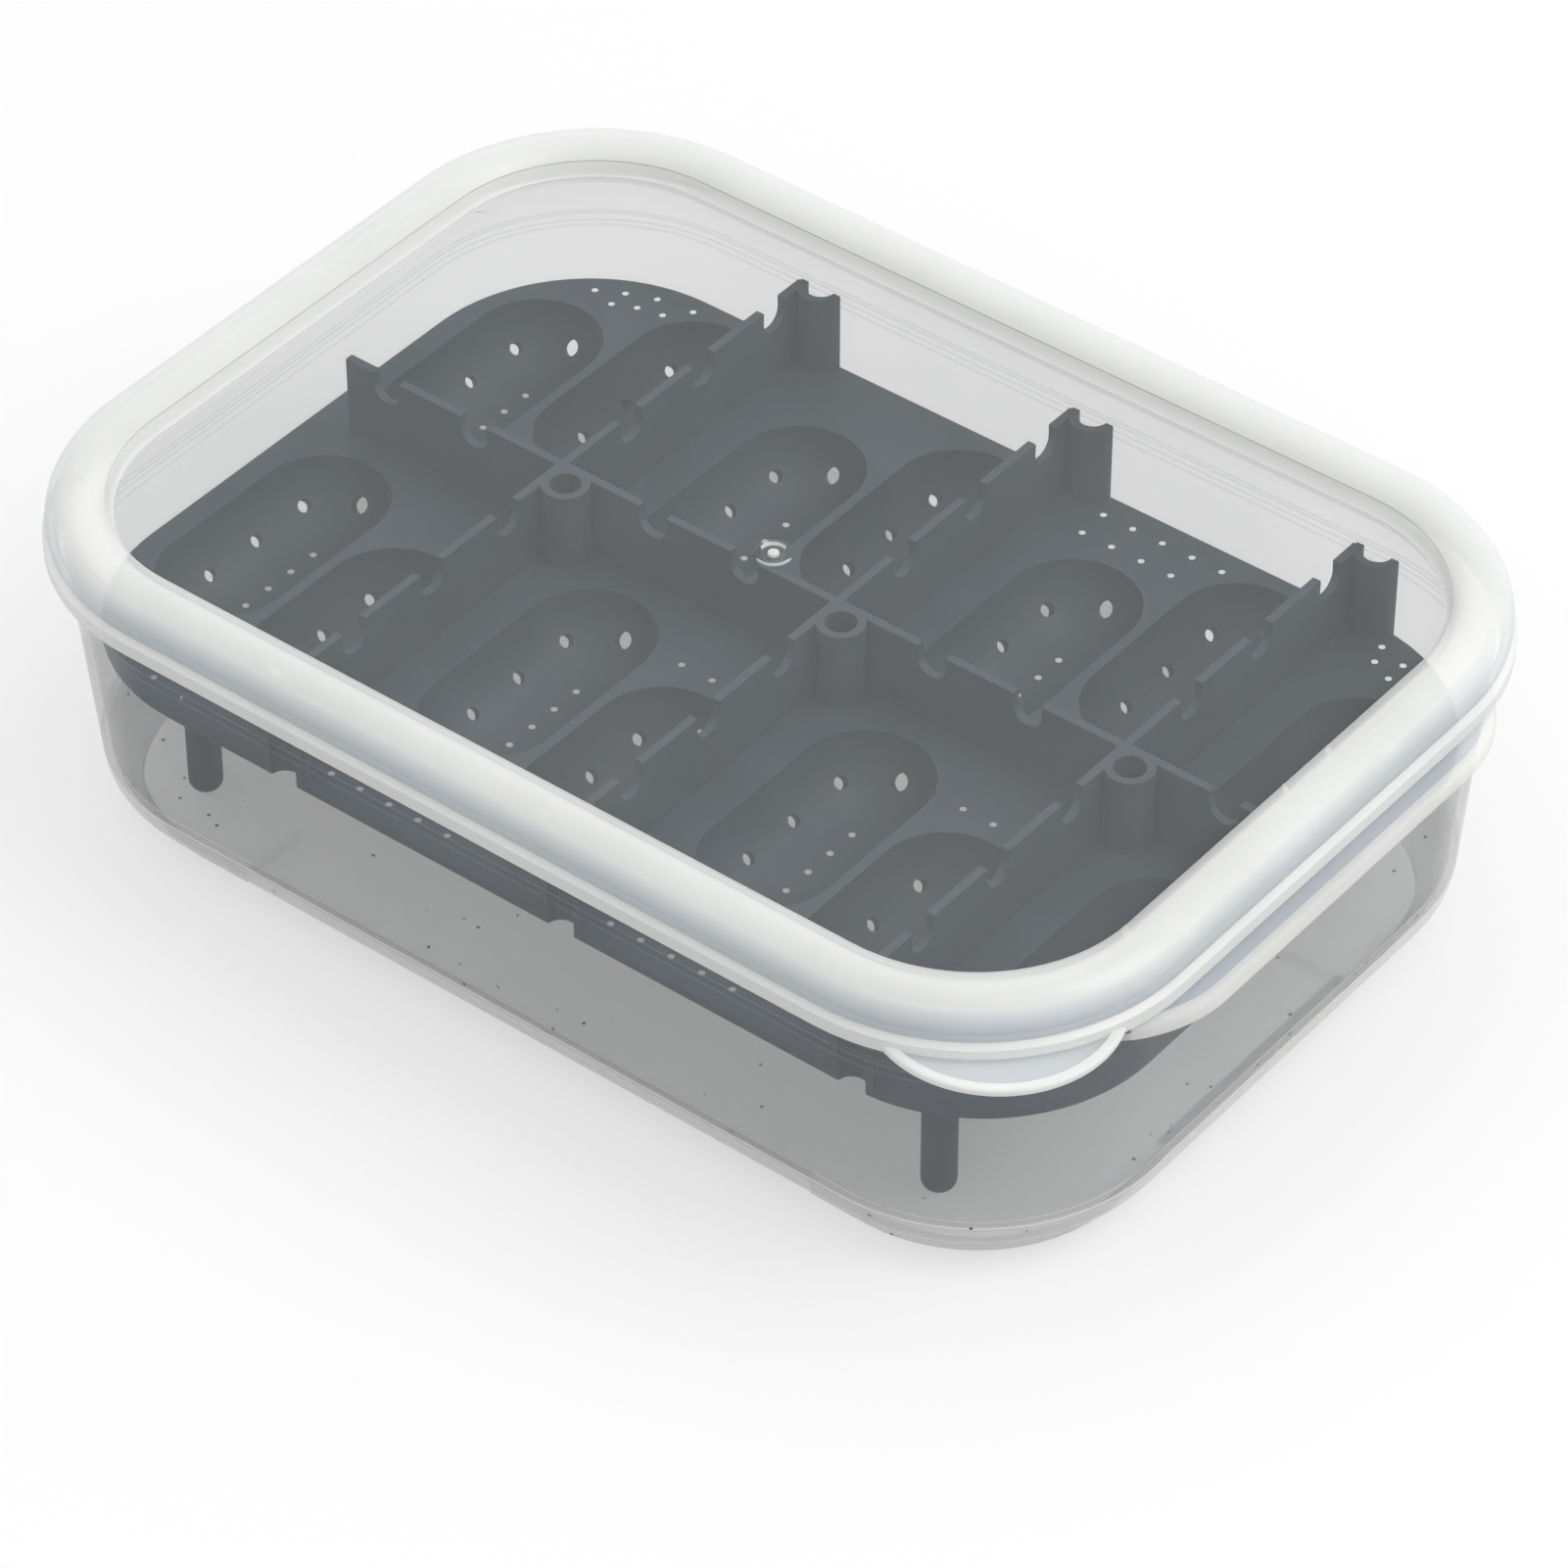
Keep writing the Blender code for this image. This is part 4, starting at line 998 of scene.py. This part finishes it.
    def flared_pin(self, radius):
        """Cutter for an air hole that widens downwards, so slanting light comes through."""
        start_clean()
        bpy.ops.mesh.primitive_cone_add(vertices=14, radius1=radius + FLARE, radius2=radius,
                                        depth=PLATE, location=(0.0, 0.0, -FLARE_DROP))
        pin = seat("air_hole")
        edit(pin)
        choose("FACE", lambda f: f.normal.z > 0.9)
        extrude(z=OVERRUN)
        bpy.ops.object.mode_set(mode="OBJECT")
        return pin

    def slots(self, sizes):
        """Round bottomed slots in the dividers, bores of the tubes and the edge trim."""
        bottom = self.crest - SLOT_DEPTH + SLOT_RADIUS
        start_clean()
        bpy.ops.mesh.primitive_cylinder_add(
            vertices=24, radius=SLOT_RADIUS, depth=sizes.divider + 2 * OVERRUN,
            rotation=(QUARTER, 0.0, 0.0), location=(0.0, 0.0, bottom))
        slot = seat("slot")
        for vert in slot.data.vertices:
            if vert.co.z > bottom + TINY:
                vert.co.z = self.crest + OVERRUN
        turned = copied(slot)
        turned.data.transform(Matrix.Rotation(QUARTER, 4, "Z"))
        cuts = [copied(slot, x=step * SLOT_PITCH, y=LONG_Y) for step in LONG_SLOTS]
        shift = TUBE_RADIUS - sizes.divider / 4
        bore = rod("bore", TUBE_BORE, self.under - OVERRUN,
                   self.crest + OVERRUN, 0.0, 0.0, 32)
        for share in BAY_SHARES[1:]:
            x = share * BAY + CROSS_OFFSET
            for index in range(3):
                cuts.append(copied(turned, x=x, y=CROSS_SLOTS[0] + index * SLOT_PITCH))
                cuts.append(copied(turned, x=x, y=CROSS_SLOTS[1] - index * SLOT_PITCH))
            for y in (LONG_Y - shift, TRAY_HIGH.y, -TRAY_HIGH.y):
                cuts.append(copied(bore, x=x + shift, y=y))
        for spare in (slot, turned, bore):
            bpy.data.objects.remove(spare)
        for side in (-1, 1):
            near, far = sorted((side * TRAY_HIGH.y, side * (TRAY_HIGH.y + 5 * MM)))
            cuts.append(block("trim", (-TRAY_HIGH.x, near, self.under - OVERRUN),
                              (TRAY_HIGH.x, far, self.crest + OVERRUN)))
        return cuts


def air_holes():
    """Places of the small air holes in the plate."""
    in_rows = [(x + AIR_PITCH * index, y) for x, y, count in AIR_ROWS for index in range(count)]
    return [(x * MM, y * MM) for x, y in (*in_rows, *AIR_SINGLES)]


# Stage

CAMERA_PLACE = (0.44998, -0.56708, 0.63716)
CAMERA_TURN = (math.radians(49.0), 0.0, math.radians(38.32))
LENS = 159.75                         # millimetres on a 36 mm wide sensor
KEY_PLACE, KEY_SIZE, KEY_POWER = (0.95, 0.35, 1.2), 0.9, 9.0
FLOOR_SIZE = 8.0
FLOOR_DROP = 0.05 * MM                # keeps the paper clear of the feet's soles
FLOOR_GLOW = 0.56                     # evens out the paper's shade where it is seen


class BREEDING_BOX_OT_stage(bpy.types.Operator):
    """Lay the floor, hang the lamps and place the camera"""
    bl_idname = "breeding_box.stage"
    bl_label = "Stage"

    def execute(self, context):
        sizes = context.scene.breeding_stage
        start_clean()
        bpy.ops.mesh.primitive_plane_add(size=FLOOR_SIZE, location=(0.0, 0.0, -FLOOR_DROP))
        floor = bpy.context.object
        floor.name = "floor"
        floor.data.materials.append(self.floor_paper(sizes.floor, sizes.bounce, sizes.shaded))
        self.sky(context.scene, sizes.daylight)
        self.lamp("key", KEY_PLACE, KEY_SIZE, KEY_POWER)
        bpy.ops.object.camera_add(location=CAMERA_PLACE, rotation=CAMERA_TURN)
        camera = bpy.context.object
        camera.data.sensor_width = 36.0
        camera.data.lens = LENS
        camera.data.clip_start = 0.05
        context.scene.camera = camera
        context.scene.view_settings.view_transform = "Standard"
        return {"FINISHED"}

    def lamp(self, name, place, size, power):
        """Square soft lamp that looks at the box."""
        bpy.ops.object.light_add(type="AREA", location=place)
        lamp = bpy.context.object
        lamp.name = name
        lamp.data.size = size
        lamp.data.energy = power
        aim = Vector((0.0, 0.0, 0.03)) - Vector(place)
        lamp.rotation_euler = aim.to_track_quat("-Z", "Y").to_euler()

    def seen_directly(self, tree):
        """One for rays that show the background: seen, mirrored or passed on."""
        path = add_node(tree, "ShaderNodeLightPath").outputs
        first = add_node(tree, "ShaderNodeMath", {
            0: path["Is Camera Ray"], 1: path["Is Glossy Ray"]}, operation="MAXIMUM")
        return add_node(tree, "ShaderNodeMath", {
            0: first, 1: path["Is Transmission Ray"]}, operation="MAXIMUM")

    def floor_paper(self, tint, bounce, shaded):
        """Matt white studio paper: white to the lens, darker as a source of bounced light."""
        material, tree, shader = new_material("studio_paper")
        tree.nodes.remove(shader)
        seen = self.seen_directly(tree)
        shade = add_node(tree, "ShaderNodeMix", {
            "Factor": seen, "A": (*(c * bounce for c in tint), 1.0),
            "B": (*(c * shaded for c in tint), 1.0)}, data_type="RGBA")
        paper = add_node(tree, "ShaderNodeBsdfDiffuse", {"Color": shade})
        lift = add_node(tree, "ShaderNodeMath", {0: seen, 1: FLOOR_GLOW}, operation="MULTIPLY")
        glow = add_node(tree, "ShaderNodeEmission", {"Strength": lift})
        both = add_node(tree, "ShaderNodeAddShader", {0: paper, 1: glow})
        feed(tree, tree.nodes["Material Output"], {"Surface": both})
        return material

    def sky(self, scene, strength):
        """Even white surroundings, dimmer for the light that they give."""
        world = scene.world or bpy.data.worlds.new("studio")
        scene.world = world
        world.use_nodes = True
        tree = world.node_tree
        back = tree.nodes.get("Background") or add_node(tree, "ShaderNodeBackground")
        level = add_node(tree, "ShaderNodeMapRange", {
            "Value": self.seen_directly(tree), "To Min": strength, "To Max": 1.0})
        feed(tree, back, {"Color": (1.0, 1.0, 1.0, 1.0), "Strength": level})


class BREEDING_BOX_PT_panel(bpy.types.Panel):
    """Sizes, colours and steps of the breeding box"""
    bl_idname = "BREEDING_BOX_PT_panel"
    bl_label = "Breeding box"
    bl_space_type = "VIEW_3D"
    bl_region_type = "UI"
    bl_category = "Breeding box"

    def draw(self, context):
        for name in ("container", "lid", "tray", "stage"):
            column = self.layout.column(align=True)
            settings = getattr(context.scene, "breeding_" + name)
            for key in settings.__annotations__:
                column.prop(settings, key)
            column.operator("breeding_box." + name)


SETTINGS = {"container": ContainerSettings, "lid": LidSettings, "tray": TraySettings,
            "stage": StageSettings}
CLASSES = (*SETTINGS.values(), BREEDING_BOX_OT_container, BREEDING_BOX_OT_lid,
           BREEDING_BOX_OT_tray, BREEDING_BOX_OT_stage, BREEDING_BOX_PT_panel)


def register():
    for each in CLASSES:
        bpy.utils.register_class(each)
    for name, settings in SETTINGS.items():
        setattr(bpy.types.Scene, "breeding_" + name, bpy.props.PointerProperty(type=settings))


def unregister():
    for name in SETTINGS:
        delattr(bpy.types.Scene, "breeding_" + name)
    for each in reversed(CLASSES):
        bpy.utils.unregister_class(each)


def main():
    register()
    bpy.ops.breeding_box.stage()
    bpy.ops.breeding_box.container()
    bpy.ops.breeding_box.lid()
    bpy.ops.breeding_box.tray()
    start_clean()


if __name__ == "__main__":
    main()
